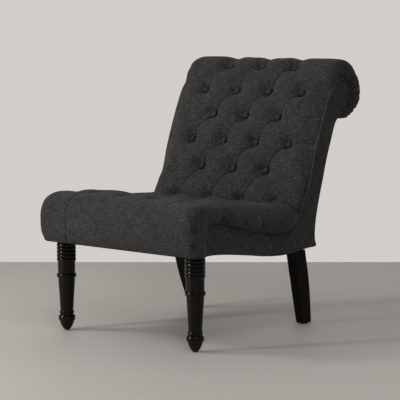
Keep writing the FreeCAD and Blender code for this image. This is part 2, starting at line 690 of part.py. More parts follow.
# front corners: rolled wadding between the corner post and the wrapped cover
pads = []
for sign in (-1, 1):
    x0 = F + 0.5
    b = box_shape(min(sign * x0, sign * (x0 + 10.5)), max(sign * x0, sign * (x0 + 10.5)), -398, -370, 307, 392)
    pads.append(b)
keep(feature("front_corner_wadding", Part.makeCompound(pads)), "front_corner_wadding")

# outside back: cover and the board behind it, between the side covers
half = S["panel_width"] / 2
ob = layer(REAR_IN, -T, 0.0, -(half - T - G), half - T - G)
keep(feature("outside_back_cover", ob), "outside_back_cover")
side_clear = half - T - G - S["side_pad_thk"] - 1.0
bb = layer(REAR_IN, -T - G - S["board_thk"], -T - G, -side_clear, side_clear)
keep(feature("outside_back_board", bb), "outside_back_board")

# dust cover: thin cloth under the frame, cut round the rear legs
dust_up = [(-414, 305), (-305, 305), (-152, 288), (-69, 276), (16, 269), (58, 269), (150, 277), (188, 282)]
dust_lo = [(y, z - 1.0) for y, z in dust_up]
dust = Part.Face(Part.makePolygon([V(-316, y, z) for y, z in dust_up + list(reversed(dust_lo)) + [dust_up[0]]])).extrude(
    V(632, 0, 0))
dust_holes = [Part.makeCylinder(6, 40, V(sx * LX, LY, 290), V(0, 0, 1)) for sx in (-1, 1)]
dust_holes += [box_shape(min(sx * 238, sx * 282.5), max(sx * 238, sx * 282.5), 144, 240, 240, 320) for sx in (-1, 1)]
keep(feature("dust_cover", biggest(dust.cut(dust_holes))), "dust_cover")

# ------------------------------------------------------------------- legs
# turned front leg: half outline (radius, height), revolved about its own axis
GL = S["glide_thk"]


def turned_outline():
    pts = [(0.0, GL), (10.5, GL), (13.5, 7.5), (17.5, 14.0), (20.7, 20.0), (22.8, 25.5), (24.2, 31.0), (26.8, 34.8)]
    curves = [[(0, GL), (10.5, GL)], [(10.5, GL), (13.6, 7.5), (17.4, 13.5), (20.6, 20.0), (22.8, 25.5), (24.0, 31.0)],
              [(24.0, 31.0), (26.2, 33.6)]]
    bead = lambda r0, z0, rp, zp, r1, z1: [(r0, z0), ((r0 + rp) / 2 + 0.9 * (rp - r0) / 3, z0 + (zp - z0) * 0.35),
                                           (rp, zp), ((r1 + rp) / 2 + 0.9 * (rp - r1) / 3, z1 - (z1 - zp) * 0.35), (r1, z1)]
    curves += [bead(26.2, 33.6, 28.4, 43.5, 25.2, 52.5), [(25.2, 52.5), (22.6, 54.2)], [(22.6, 54.2), (22.6, 57.0)],
               bead(22.6, 57.0, 24.8, 61.5, 22.2, 66.0), [(22.2, 66.0), (22.1, 72.0)],
               [(22.1, 72.0), (23.3, 90.0), (24.3, 110.0), (25.5, 130.0), (26.9, 150.0), (28.2, 172.0)],
               [(28.2, 172.0), (28.2, 178.5)], bead(28.2, 178.5, 33.2, 186.0, 29.0, 193.5),
               [(29.0, 193.5), (29.2, 233.0)]]
    z = 233.0
    for k in range(5):
        curves.append(bead(29.2 if k == 0 else 29.6, z, 32.2, z + 6.2, 29.6, z + 12.4))
        z += 12.4
    curves += [[(29.6, z), (30.5, z)], [(30.5, z), (30.5, S["leg_top"])], [(30.5, S["leg_top"]), (0, S["leg_top"])],
               [(0, S["leg_top"]), (0, GL)]]
    return curves


for sign, side in ((-1, "left"), (1, "right")):
    body = doc.addObject("PartDesign::Body", "turned_" + side)
    sk = sketch_on(body, "XZ_Plane", "turned_outline_" + side)
    closed_sketch(sk, turned_outline())
    rv = body.newObject("PartDesign::Revolution", "turned_rev_" + side)
    rv.Profile = sk
    rv.ReferenceAxis = (sk, ["V_Axis"])
    rv.Angle = 360
    body.Tip = rv
    body.Placement = Placement(V(sign * LX, LY, 0), Rotation())
    hole = front_bolt_bores[0 if sign < 0 else 1]
    nail = cyl("front_nail_bore_" + side, 1.15, 13, (sign * LX, LY, 3.0), (0, 0, 1))
    keep(cut("front_leg_" + side, body, [hole, nail]), "front_leg_" + side)

# hanger bolts and top plates of the front legs
keep(feature("front_leg_bolts", Part.makeCompound(
    [Part.makeCylinder(S["bolt_rad"], 106, V(sx * LX, LY, 252), V(0, 0, 1)) for sx in (-1, 1)])), "front_leg_bolts")
plates = []
for sx in (-1, 1):
    c = sx * (LX - 0.0)
    pl = box_shape(c - 26, c + 26, LY - 26, LY + 26, S["leg_top"] + 0.3, S["leg_top"] + 2.8)
    pl = pl.cut(Part.makeCylinder(S["bolt_rad"] + S["bore_gap"], 10, V(sx * LX, LY, 298), V(0, 0, 1)))
    plates.append(pl)
keep(feature("front_leg_plates", Part.makeCompound(plates)), "front_leg_plates")


# rear legs: raked back, tapering on both faces; sections (z, x inner, x outer, y front, y rear)
SECT = [(GL, 229.5, 261, 226, 268), (60, 231.5, 264.5, 209, 258.5), (110, 235, 270, 193, 247), (190, 238.5, 275, 170, 227.5),
        (262, 240.5, 279, 152, 207)]


def rear_leg_shape(sign):
    wires = []
    for z, xi, xo, yf, yr in SECT:
        c = [V(sign * xi, yf, z), V(sign * xo, yf, z), V(sign * xo, yr, z), V(sign * xi, yr, z)]
        wires.append(Part.makePolygon(c + [c[0]]))
    s = Part.makeLoft(wires, True, False)
    x0, x1 = 241.0, inner - 0.3
    top = box_shape(min(sign * x0, sign * x1), max(sign * x0, sign * x1), 152, 190, 255, 336)
    s = s.fuse(top).removeSplitter()
    cuts = [Part.makeCylinder(S["bolt_rad"] + S["bore_gap"], 80, V(sign * 225, y, z), V(sign, 0, 0)) for y, z in REAR_BOLTS]
    cuts.append(Part.makeCylinder(1.15, 13, V(sign * 245.2, 247, 3.0), V(0, 0, 1)))
    return s.cut(cuts)


for sign, side in ((-1, "left"), (1, "right")):
    keep(feature("rear_leg_" + side, biggest(rear_leg_shape(sign))), "rear_leg_" + side)

bolts, nuts, washers = [], [], []
for sx in (-1, 1):
    for (y, z) in REAR_BOLTS:
        d = V(sx, 0, 0)
        shank = Part.makeCylinder(S["bolt_rad"], F - 5.0 - 231.5, V(sx * 231.5, y, z), d)
        head = Part.makeCylinder(9.0, 4.5, V(sx * (F - 5.8), y, z), d)
        bolts.append(shank.fuse(head).removeSplitter())
        w = Part.makeCylinder(8.5, 1.6, V(sx * 240.7, y, z), V(-sx, 0, 0)).cut(
            Part.makeCylinder(S["bolt_rad"] + 0.25, 4, V(sx * 242, y, z), V(-sx, 0, 0)))
        washers.append(w)
        hexa = Part.makePolygon([V(0, 7.2 * math.cos(math.radians(a)), 7.2 * math.sin(math.radians(a)))
                                 for a in range(0, 361, 60)])
        nut = Part.Face(hexa).extrude(V(-sx * 6.0, 0, 0))
        nut.translate(V(sx * 238.9, y, z))
        nut = nut.cut(Part.makeCylinder(S["bolt_rad"] + 0.05, 14, V(sx * 241, y, z), V(-sx, 0, 0)))
        nuts.append(nut)
keep(feature("rear_leg_bolts", Part.makeCompound(bolts)), "rear_leg_bolts")
keep(feature("rear_leg_washers", Part.makeCompound(washers)), "rear_leg_washers")
keep(feature("rear_leg_nuts", Part.makeCompound(nuts)), "rear_leg_nuts")

glides = []
for (x, y) in ((-LX, LY), (LX, LY), (-245.2, 247), (245.2, 247)):
    disc = Part.makeCylinder(S["glide_rad"], GL - 0.2, V(x, y, 0))
    disc = disc.makeFillet(1.6, [e for e in disc.Edges if abs(e.BoundBox.ZMax) < 0.01 and e.BoundBox.XLength > 1])
    glides.append(disc.fuse(Part.makeCylinder(1.0, 11.5, V(x, y, GL - 1.0))).removeSplitter())
keep(feature("glides", Part.makeCompound(glides)), "glides")

# ----------------------------------------------------------------- write
doc.recompute()
for o in doc.Objects:
    if any(k in ("Invalid", "Error") for k in o.State):
        raise RuntimeError("state of %s: %s" % (o.Label, o.State))
os.makedirs("parts", exist_ok=True)
for o in NODES:
    sh = o.Shape
    if sh.isNull() or not sh.isValid() or not sh.Solids:
        raise RuntimeError("bad shape %s" % o.Label)
    sh.exportStep("parts/%s.step" % o.Label)
    bb = sh.optimalBoundingBox(False, False)
    print("%-26s solids %3d  vol %9.1f  x %.1f..%.1f y %.1f..%.1f z %.1f..%.1f" % (
        o.Label, len(sh.Solids), sh.Volume / 1000, bb.XMin, bb.XMax, bb.YMin, bb.YMax, bb.ZMin, bb.ZMax))
print(len(NODES), "nodes")
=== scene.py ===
"""Slipper chair: the looks of the part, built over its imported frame.

Metres, X across, Y from the front to the back, Z up. Outlines below are in millimetres in the side view (Y, Z)
and repeat the ones the frame was built from. Soft pieces are grids laid over a crown line, with the pull of every
button, the folds between them and the pleats to the seams worked out over the unrolled cloth.
"""

import math

import bpy
import numpy as np
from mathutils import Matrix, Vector


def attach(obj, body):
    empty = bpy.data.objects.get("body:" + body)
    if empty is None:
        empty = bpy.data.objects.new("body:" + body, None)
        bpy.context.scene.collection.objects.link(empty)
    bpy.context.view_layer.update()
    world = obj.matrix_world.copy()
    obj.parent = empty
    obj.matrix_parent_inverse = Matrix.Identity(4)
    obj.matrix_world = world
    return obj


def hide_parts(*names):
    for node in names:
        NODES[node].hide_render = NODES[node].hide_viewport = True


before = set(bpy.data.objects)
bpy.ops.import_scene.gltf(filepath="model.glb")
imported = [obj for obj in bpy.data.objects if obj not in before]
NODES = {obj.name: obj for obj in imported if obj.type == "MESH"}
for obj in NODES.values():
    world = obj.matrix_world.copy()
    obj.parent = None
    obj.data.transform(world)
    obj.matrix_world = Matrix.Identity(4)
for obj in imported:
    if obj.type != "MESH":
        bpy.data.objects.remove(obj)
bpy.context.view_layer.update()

# ------------------------------------------------------------------ outlines
SEAT_LINE = [(-424, 305), (-437, 325), (-445, 358), (-447, 395), (-441, 426), (-421, 451), (-388, 464), (-340, 467.5),
             (-270, 466), (-200, 460), (-130, 450), (-60, 440), (0, 434), (50, 432), (78, 431.5), (91, 426), (97, 412), (99, 396)]
BACK_LINE = [(103, 396), (100, 412), (99.5, 428), (107, 448), (120, 474), (135, 510), (150, 550), (164, 591), (181, 637),
             (200, 685), (217, 729), (234, 765), (252, 797), (270, 829), (292, 864), (322, 890), (360, 900.5), (390, 892),
             (414, 864), (436, 833), (445, 800), (446, 768), (440, 747), (398, 718), (362, 703), (324, 701)]
# the seam between the cushions and the side covers, from the front corner up and round the scroll
SEAM_LINE = [(-366, 305), (-366, 345), (-366, 380), (-361, 397), (-347, 402), (-270, 394), (-161, 366), (-43, 342),
             (39, 342), (88, 365), (104, 389), (162, 486), (194, 591), (244, 721), (277, 787), (300, 812), (325, 828),
             (352, 831), (380, 818), (393, 790), (390, 757), (372, 730), (346, 712), (322, 701)]
BOTTOM = [(-366, 305), (-305, 304), (-152, 286), (-69, 274), (16, 267), (43, 267), (157, 276), (208, 281)]
REAR = [(208, 281), (202, 297), (200, 322), (205, 366), (221, 432), (242, 498), (262, 564), (287, 630), (316, 694)]
SCROLL_UNDER = [(316, 694), (346, 712), (372, 730), (390, 757), (393, 790), (380, 818), (352, 831)]

SEAT_PAIRS = [((-424, 305), (-366, 305)), ((-445, 358), (-366, 345)), ((-447, 395), (-366, 375)), ((-420, 450), (-363, 395)),
              ((-388, 463), (-350, 402)), ((-340, 467.5), (-320, 400)), ((-270, 466), (-262, 393)), ((-200, 460), (-195, 376)),
              ((-130, 450), (-125, 358)), ((-60, 440), (-60, 345)), ((0, 434), (0, 341)), ((50, 432), (45, 343)),
              ((84, 431), (80, 360)), ((99, 396), (96, 377))]
BACK_PAIRS = [((103, 396), (96, 377)), ((107, 448), (118, 412)), ((120, 474), (138, 446)), ((135, 510), (162, 486)),
              ((164, 591), (194, 591)), ((200, 685), (226, 674)), ((217, 729), (244, 721)), ((252, 797), (277, 787)),
              ((270, 829), (289, 800)), ((292, 864), (305, 816)), ((322, 891), (325, 828)), ((360, 900.5), (352, 831)),
              ((390, 894), (370, 824)), ((414, 864), (383, 814)), ((436, 833), (391, 800)), ((445, 800), (393, 785)),
              ((447, 768), (391, 764)), ((443, 744), (384, 746)), ((400, 717), (366, 725)), ((362, 703), (345, 711)),
              ((324, 701), (322, 701))]

P2 = 71.4
ODD, EVEN = (-142.8, 0, 142.8), (-214.2, -71.4, 71.4, 214.2)
# rows of buttons: (y, z) of the button's foot, outward direction, places across
ROWS_SEAT = [(-308, 448, EVEN), (-208, 442, ODD), (-109, 430, EVEN), (-9, 418, ODD)]
ROWS_BACK = [(160, 525, ODD), (201, 613, EVEN), (225, 704, ODD), (261, 790, EVEN), (321, 868, ODD)]
SEAM_X = 325.0


# ------------------------------------------------------------------ curves
class Line:
    """A smooth line through points in the side view, known by its length from the start."""

    def __init__(self, points, sigma=0.0):
        p = np.array(points, float)
        ext = np.vstack([2 * p[0] - p[1], p, 2 * p[-1] - p[-2]])
        out = []
        for i in range(1, len(ext) - 2):
            a, b, c, d = ext[i - 1 : i + 3]
            t0, t1 = 0.0, max(np.linalg.norm(b - a), 1e-6) ** 0.5
            t2 = t1 + max(np.linalg.norm(c - b), 1e-6) ** 0.5
            t3 = t2 + max(np.linalg.norm(d - c), 1e-6) ** 0.5
            n = max(2, int(np.linalg.norm(c - b)))
            t = np.linspace(t1, t2, n, endpoint=False)[:, None]
            a1 = (t1 - t) / (t1 - t0) * a + (t - t0) / (t1 - t0) * b
            a2 = (t2 - t) / (t2 - t1) * b + (t - t1) / (t2 - t1) * c
            a3 = (t3 - t) / (t3 - t2) * c + (t - t2) / (t3 - t2) * d
            b1 = (t2 - t) / (t2 - t0) * a1 + (t - t0) / (t2 - t0) * a2
            b2 = (t3 - t) / (t3 - t1) * a2 + (t - t1) / (t3 - t1) * a3
            out.append((t2 - t) / (t2 - t1) * b1 + (t - t1) / (t2 - t1) * b2)
        q = np.vstack(out + [ext[-2:-1]])
        self.set(q)
        if sigma:
            s = np.linspace(0, self.length, int(self.length) + 1)
            q = self.at(s)
            k = int(4 * sigma)
            w = np.exp(-0.5 * (np.arange(-k, k + 1) / sigma) ** 2)
            w /= w.sum()
            pad = np.vstack([2 * q[0] - q[k:0:-1], q, 2 * q[-1] - q[-2 : -k - 2 : -1]])
            q = np.stack([np.convolve(pad[:, i], w, "valid") for i in (0, 1)], 1)
            self.set(q)

    def set(self, q):
        self.q = q
        self.s = np.concatenate([[0], np.cumsum(np.linalg.norm(np.diff(q, axis=0), axis=1))])
        self.length = self.s[-1]

    def at(self, s):
        return np.stack([np.interp(s, self.s, self.q[:, i]) for i in (0, 1)], -1)

    def normal(self, s):
        s = np.asarray(s, float)
        d = self.at(np.minimum(s + 3, self.length)) - self.at(np.maximum(s - 3, 0))
        d /= np.linalg.norm(d, axis=-1, keepdims=True)
        return np.stack([-d[..., 1], d[..., 0]], -1)

    def near(self, p, low=0.0, high=1e9):
        d = np.linalg.norm(self.q - np.array(p, float), axis=1)
        d[(self.s < low) | (self.s > high)] = 1e9
        return self.s[int(np.argmin(d))]


def ease(x, a, b):
    t = np.clip((x - a) / (b - a), 0, 1)
    return t * t * (3 - 2 * t)


def soft_table(x, keys):
    """A smooth function through (x, value) keys."""
    k = np.array(keys, float)
    x = np.clip(x, k[0, 0], k[-1, 0])
    i = np.clip(np.searchsorted(k[:, 0], x, side="right") - 1, 0, len(k) - 2)
    t = (x - k[i, 0]) / (k[i + 1, 0] - k[i, 0])
    t = t * t * (3 - 2 * t)
    return k[i, 1] * (1 - t) + k[i + 1, 1] * t


class Waves:
    """Slow seeded unevenness over the unrolled cloth, from -1 to 1 or so."""

    def __init__(self, seed, shortest, longest, n=14):
        r = np.random.default_rng(seed)
        a = r.uniform(0, 2 * math.pi, n)
        w = 2 * math.pi / r.uniform(shortest, longest, n)
        self.k = np.stack([np.cos(a) * w, np.sin(a) * w], 1)
        self.p = r.uniform(0, 2 * math.pi, n)
        self.n = n

    def at(self, u, s):
        out = np.zeros(np.broadcast(u, s).shape)
        for (a, b), p in zip(self.k, self.p):
            out += np.sin(a * u + b * s + p)
        return out / math.sqrt(self.n)


# ------------------------------------------------------------------ meshes
def mesh_piece(name, points, faces, weave=None, smooth=True):
    """A mesh piece from arrays in millimetres."""
    m = bpy.data.meshes.new(name)
    faces = np.asarray(faces, np.int32)
    sides = faces.shape[1]
    m.vertices.add(len(points))
    m.vertices.foreach_set("co", (np.asarray(points, np.float32) * 0.001).ravel())
    m.loops.add(len(faces) * sides)
    m.loops.foreach_set("vertex_index", faces.ravel())
    m.polygons.add(len(faces))
    m.polygons.foreach_set("loop_start", np.arange(0, len(faces) * sides, sides, dtype=np.int32))
    m.update(calc_edges=True)
    m.validate()
    m.polygons.foreach_set("use_smooth", np.full(len(m.polygons), smooth))
    if weave is not None:
        a = m.attributes.new("weave", "FLOAT_VECTOR", "POINT")
        w = np.zeros((len(points), 3), np.float32)
        w[:, : weave.shape[1]] = np.asarray(weave, np.float32) * 0.001
        a.data.foreach_set("vector", w.ravel())
    o = bpy.data.objects.new(name, m)
    bpy.context.scene.collection.objects.link(o)
    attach(o, "root")
    return o


def grid_faces(rows, cols, height=None, base=0, flip=False):
    """Triangles of a grid. Each cell is split along the lower diagonal, so that a fold stays sharp."""
    i, j = np.meshgrid(np.arange(rows - 1), np.arange(cols - 1), indexing="ij")
    a, b, c, d = i * cols + j, i * cols + j + 1, (i + 1) * cols + j + 1, (i + 1) * cols + j
    if height is None:
        ac = np.ones_like(a, bool)
    else:
        h = height.ravel()
        ac = h[a] + h[c] <= h[b] + h[d]
    t1 = np.where(ac[..., None], np.stack([a, b, c], -1), np.stack([a, b, d], -1))
    t2 = np.where(ac[..., None], np.stack([a, c, d], -1), np.stack([b, c, d], -1))
    f = np.concatenate([t1.reshape(-1, 3), t2.reshape(-1, 3)]) + base
    return f[:, ::-1] if flip else f


def edge_loop(rows, cols):
    """Indices round the border of a grid."""
    a = np.arange(cols)
    b = np.arange(1, rows) * cols + cols - 1
    c = (rows - 1) * cols + np.arange(cols - 2, -1, -1)
    d = np.arange(rows - 2, 0, -1) * cols
    return np.concatenate([a, b, c, d])


def closed_grid(outer, inner, height=None):
    """Points and faces of a thick sheet: an outer and an inner grid joined at the border."""
    rows, cols = outer.shape[:2]
    n = rows * cols
    loop = edge_loop(rows, cols)
    nxt = np.roll(loop, -1)
    rim = np.concatenate([np.stack([loop, loop + n, nxt + n], 1), np.stack([loop, nxt + n, nxt], 1)])
    faces = np.concatenate([grid_faces(rows, cols, height), grid_faces(rows, cols, height, n, True), rim])
    return np.concatenate([outer.reshape(-1, 3), inner.reshape(-1, 3)]), faces


def grid_normals(p):
    du = np.gradient(p, axis=1)
    ds = np.gradient(p, axis=0)
    n = np.cross(du, ds)
    length = np.linalg.norm(n, axis=-1, keepdims=True)
    return n / np.maximum(length, 1e-9), du, ds


# ------------------------------------------------------------------ tufting
def plump(d, reach):
    """Rise of a filled pillow with the distance from the fold at its edge."""
    t = np.clip(d / reach, 0, 1)
    return 0.5 * np.sqrt(1 - (1 - t) ** 2) + 0.5 * np.sin(t * math.pi / 2) ** 2


def segment(u, s, p, q):
    """Distance from a fold's line, place along it, and the signed distance from its line."""
    p, q = np.array(p, float), np.array(q, float)
    d = q - p
    length = np.linalg.norm(d)
    d /= length
    du, ds = u - p[0], s - p[1]
    t = np.clip((du * d[0] + ds * d[1]) / length, 0, 1)
    eu, es = du - t * length * d[0], ds - t * length * d[1]
    return np.hypot(eu, es), t, eu * -d[1] + es * d[0]


def cushion(name, line, pairs, keys, buttons, folds, shape, seed, thick=5.0, after=None):
    """A buttoned cushion over a crown line.
    keys: [(place along the line, cells before it)]; buttons: [(u, s, depth)]; folds: see below; shape: side section."""
    seam = SEAM
    ps = np.array([line.near(a) for a, b in pairs])
    low = 0.0
    pq = []
    for a, b in pairs:
        low = seam.near(b, low - 1)
        pq.append(low)
    pq = np.array(pq)

    rows = [np.array([keys[0][0]])]
    for (a, _), (b, n) in zip(keys, keys[1:]):
        rows.append(np.linspace(a, b, n + 1)[1:])
    S = np.concatenate(rows)
    crown, out = line.at(S), line.normal(S)
    fine = np.linspace(ps[0], ps[-1], 400)
    q = np.interp(fine, ps, pq)
    w = np.exp(-0.5 * (np.arange(-24, 25) / 8.0) ** 2)
    w /= w.sum()
    pad = np.concatenate([2 * q[0] - q[24:0:-1], q, 2 * q[-1] - q[-2:-26:-1]])
    q = np.convolve(pad, w, "valid")
    seam_at = seam.at(np.interp(S, fine, q))

    m, n = 56, 32
    columns = 6 * n + 1 + 2 * m
    P = np.zeros((len(S), columns, 3))
    U = np.zeros((len(S), columns))
    mid = np.linspace(-3 * P2, 3 * P2, 6 * n + 1)
    for i, s in enumerate(S):
        c, t = crown[i], seam_at[i] - crown[i]
        T = max(np.linalg.norm(t), 0.5)
        t = t / T
        flat, wide, share, e = shape(s)
        wide = SEAM_X + (wide - SEAM_X) * min(1.0, T / 20.0)
        tw = share * T
        f = np.linspace(0, math.pi / 2, 40)
        corner = np.stack([flat + (wide - flat) * np.sin(f) ** e, tw * (1 - np.cos(f) ** e)], 1)
        g = np.linspace(0, math.pi / 2, 24)[1:]
        under = np.stack([SEAM_X + (wide - SEAM_X) * np.cos(g) ** 0.8, tw + (T - tw) * np.sin(g)], 1)
        sec = np.vstack([[3 * P2, 0], corner, under])
        L = np.concatenate([[0], np.cumsum(np.linalg.norm(np.diff(sec, axis=0), axis=1))])
        v = np.linspace(0, 1, m + 1)[1:] * L[-1]
        x, depth = np.interp(v, L, sec[:, 0]), np.interp(v, L, sec[:, 1])
        x = np.concatenate([-x[::-1], mid, x])
        depth = np.concatenate([depth[::-1], 0 * mid, depth])
        U[i] = np.concatenate([-(3 * P2 + v)[::-1], mid, 3 * P2 + v])
        P[i, :, 0] = x
        P[i, :, 1] = c[0] + depth * t[0]
        P[i, :, 2] = c[1] + depth * t[1]
    N, du, ds = grid_normals(P)
    tu = du / np.maximum(np.linalg.norm(du, axis=-1, keepdims=True), 1e-9)
    ts = np.cross(N, tu)
    SS = np.broadcast_to(S[:, None], U.shape)

    to_side = U[:, -1:] - np.abs(U)
    to_end = np.minimum(SS - S[0], S[-1] - SS)
    hold = ease(np.minimum(to_side, to_end + 4), 0, 14)

    # folds: (start, end, weight at the start and end, reach at the start and end, depth, overlap)
    full = np.ones(U.shape)
    deep = np.zeros(U.shape)
    near = np.full(U.shape, 1e9)
    shift_u, shift_s = np.zeros(U.shape), np.zeros(U.shape)
    rise = np.ones(U.shape)
    crease = np.zeros(U.shape)
    for p, q, w0, w1, r0, r1, lap, slack, *more in folds:
        cut, bow = more or (1.0, 0.0)
        d, t, side = segment(U, SS, p, q)
        if bow:
            past = np.sqrt(np.maximum(d * d - side * side, 0))
            side = side - bow * 4 * t * (1 - t)
            d = np.hypot(side, past)
        # the fold is slack halfway between its ends
        w = (w0 + (w1 - w0) * t) * (1 - slack * (1 - (2 * t - 1) ** 2))
        crease = np.maximum(crease, cut * w * np.exp(-((d / 1.9) ** 2)))
        reach = r0 + (r1 - r0) * t
        rise *= 1 - w * (1 - plump(d, reach))
        along = np.array(q, float) - np.array(p, float)
        along /= np.linalg.norm(along)
        # the cloth of the lapping side is drawn over the fold
        sgn = np.sign(lap) or 1.0
        L = abs(lap) * w * np.exp(-(((side * sgn) - 5.0) / 6.0) ** 2) * np.exp(-((np.maximum(d - np.abs(side), 0) / 4.0) ** 2))
        shift_u += -sgn * L * -along[1]
        shift_s += -sgn * L * along[0]
    H = FOLD_DEPTH
    move = -H * (1 - rise) - 3.0 * crease
    r = np.random.default_rng(seed)
    pull = np.zeros(U.shape)
    for bu, bs, depth in buttons:
        a, b = U - bu, SS - bs
        d, th = np.hypot(a, b), np.arctan2(b, a)
        floor = depth - H
        pull = np.maximum(pull, floor * np.exp(-((np.maximum(d - 10.5, 0) / 12.5) ** 1.0)))
        ripple = np.zeros(U.shape)
        for k in (4, 6, 9, 13):
            ripple -= r.uniform(0.5, 1.2) * np.clip(np.cos(k * th + r.uniform(0, 6.28) + r.uniform(-0.05, 0.05) * d), 0, 1) ** 5
        move += 2.3 * ripple * np.exp(-(((d - 16.0) / 9.0) ** 2))
    # the cloth goes down steeply round each button
        move -= 4.0 * np.exp(-(((d - 11.5) / 3.6) ** 2))
    move -= pull
    soft = Waves(seed + 1, 70, 180).at(U, SS) * 1.0 + Waves(seed + 2, 28, 60).at(U, SS) * 0.28
    move += soft * np.clip(rise, 0, 1)
    if after is not None:
        move, shift_u, shift_s = after(U, SS, P, move, shift_u, shift_s, S)
    move = move * hold
    Q = P + N * move[..., None] + tu * (shift_u * hold)[..., None] + ts * (shift_s * hold)[..., None]
    # the seam lies flat along its line, with a little gather
    t = np.clip(1.5 + 0.3 * np.minimum(to_side, to_end), 1.5, thick)
    inner = Q - N * t[..., None]
    pts, faces = closed_grid(Q, inner, move)
    weave = np.stack([U, SS], -1).reshape(-1, 2)
    o = mesh_piece(name, pts, faces, np.concatenate([weave, weave]))
    return o, dict(U=U, S=SS, P=P, N=N, Q=Q, rows=S)


FOLD_DEPTH = 12.0
SEAM = Line(SEAM_LINE, 3.0)
SEAT = Line(SEAT_LINE, 5.0)
BACK = Line(BACK_LINE, 5.5)

# places of the button rows along the crown lines, with each foot's depth under the crown
def row_places(line, rows, least):
    out = []
    for y, z, xs in rows:
        s = line.near((y, z))
        d = np.linalg.norm(line.at(s) - np.array([y, z], float))
        out.append((s, max(d + 1.0, least), xs))
    return out


seat_rows = row_places(SEAT, ROWS_SEAT, 25.0)
back_rows = row_places(BACK, ROWS_BACK, 26.0)
seat_gap = SEAT.near((84, 431))
back_gap = BACK.near((99.5, 430))


def diagonals(a, b, weight=1.0, reach=46.0, lap=0.0):
    """Folds between the buttons of two neighbouring rows. lap: how far the cloth of the second row's side laps."""
    found = []
    (sa, _, xa), (sb, _, xb) = a, b
    for x in xa:
        for y in xb:
            if abs(abs(x - y) - P2) < 1:
                # the side beyond the fold, towards the second row, is on the left of the line going across
                p, q = ((x, sa), (y, sb)) if y > x else ((y, sb), (x, sa))
                # folds that rise to the right are drawn tight, the crossing ones lie open and shallow
                up = (q[1] - p[1]) * (q[0] - p[0]) > 0
                if up:
                    found.append((p, q, weight, weight, reach, reach, lap, 0.42, 1.7, 5.0))
                else:
                    found.append((p, q, 0.92 * weight, 0.92 * weight, reach, reach, 0.25 * lap, 0.62, 0.05, 3.0))
    return found


def seat_shape(s):
    flat = soft_table(s, [(0, 308), (190, 300), (310, 252), (SEAT.length - 40, 258), (SEAT.length, 290)])
    wide = soft_table(s, [(0, 341), (60, 341), (200, 342), (310, 353), (SEAT.length - 90, 353), (SEAT.length, 331)])
    share = soft_table(s, [(0, 0.42), (150, 0.5), (230, 0.6), (310, 0.6), (SEAT.length, 0.6)])
    edge = soft_table(s, [(0, 0.86), (190, 0.92), (310, 1.0), (SEAT.length, 1.0)])
    return float(flat), float(wide), float(share), float(edge)


def back_shape(s):
    top = BACK.near((360, 902.5))
    flat = soft_table(s, [(0, 284), (90, 280), (150, 264), (top - 130, 264), (top - 80, 288), (top - 10, 296), (top + 50, 306), (BACK.length, 313)])
    share = soft_table(s, [(0, 0.95), (top - 130, 0.95), (top - 20, 0.62), (top + 60, 0.42), (BACK.length - 60, 0.42), (BACK.length, 0.7)])
    wide = soft_table(s, [(0, 327), (top - 90, 327), (top - 20, 334), (top + 40, 340), (BACK.length - 60, 339), (BACK.length, 327)])
    edge = soft_table(s, [(0, 0.9), (90, 0.95), (150, 1.4), (top - 130, 1.5), (top - 80, 0.85), (top, 1.0), (BACK.length, 1.0)])
    return float(flat), float(wide), float(share), float(edge)


# --- seat
keys = [(0.0, 0), (seat_rows[0][0], 96), (seat_rows[1][0], 32), (seat_rows[2][0], 32), (seat_rows[3][0], 32),
        (seat_gap, 32), (SEAT.length, 14)]
gap_row = (seat_gap, 20.0, EVEN)
folds = []
for a, b in zip(seat_rows + [gap_row], (seat_rows + [gap_row])[1:]):
    folds += diagonals(a, b, lap=5.0)
s9, s7 = seat_rows[0][0], seat_rows[2][0]
for sx in (-1, 1):
    far = 420 * sx
    folds.append(((214.2 * sx, s9), (far, s9 + 4), 1.0, 1.5, 40, 40, 5.0 * sx, 0.0, 1.6, 0.0))
    folds.append(((226 * sx, s9 - 2), (far, s9 - 13), 0.3, 0.35, 10, 10, 0.0, 0.0))
    folds.append(((214.2 * sx, s7), (far, s7 + 10), 1.0, 1.45, 56, 54, 5.0 * sx, 0.0, 1.6, 0.0))
    # pleats from the first row over the front edge and down
    side = 1.0 if sx < 0 else 0.35
    thin = 1.5 if sx < 0 else 0.3
    folds.append(((214.2 * sx, s9), (206 * sx, s9 - 112), 0.75, 0.26 * side, 30, 13, 3.0 * sx, 0.3, thin, 0.0))
    folds.append(((206 * sx, s9 - 112), (203 * sx, 70), 0.26 * side, 0.24 * side, 13, 11, 3.0 * sx, 0.0, thin, 0.0))
    folds.append(((203 * sx, 70), (212 * sx, 2), 0.24 * side, 0.18 * side, 11, 10, 2.0 * sx, 0.0, thin, 0.0))
    folds.append(((71.4 * sx, s9), (66 * sx, s9 - 108), 0.7, 0.24 * side, 30, 13, 3.0 * sx, 0.3, thin, 0.0))
    folds.append(((66 * sx, s9 - 108), (66 * sx, 96), 0.24 * side, 0.0, 13, 11, 3.0 * sx, 0.0, thin, 0.0))
buttons = [(x, s, d) for s, d, xs in seat_rows for x in xs]
seat_buttons = list(buttons)
buttons += [(x, seat_gap, 20.0) for x in EVEN]


seat_piece, seat_grid = cushion("seat_cushion", SEAT, SEAT_PAIRS, keys, buttons, folds, seat_shape, 11)
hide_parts("seat_cover", "seat_batting", "seat_foam", "front_corner_wadding")

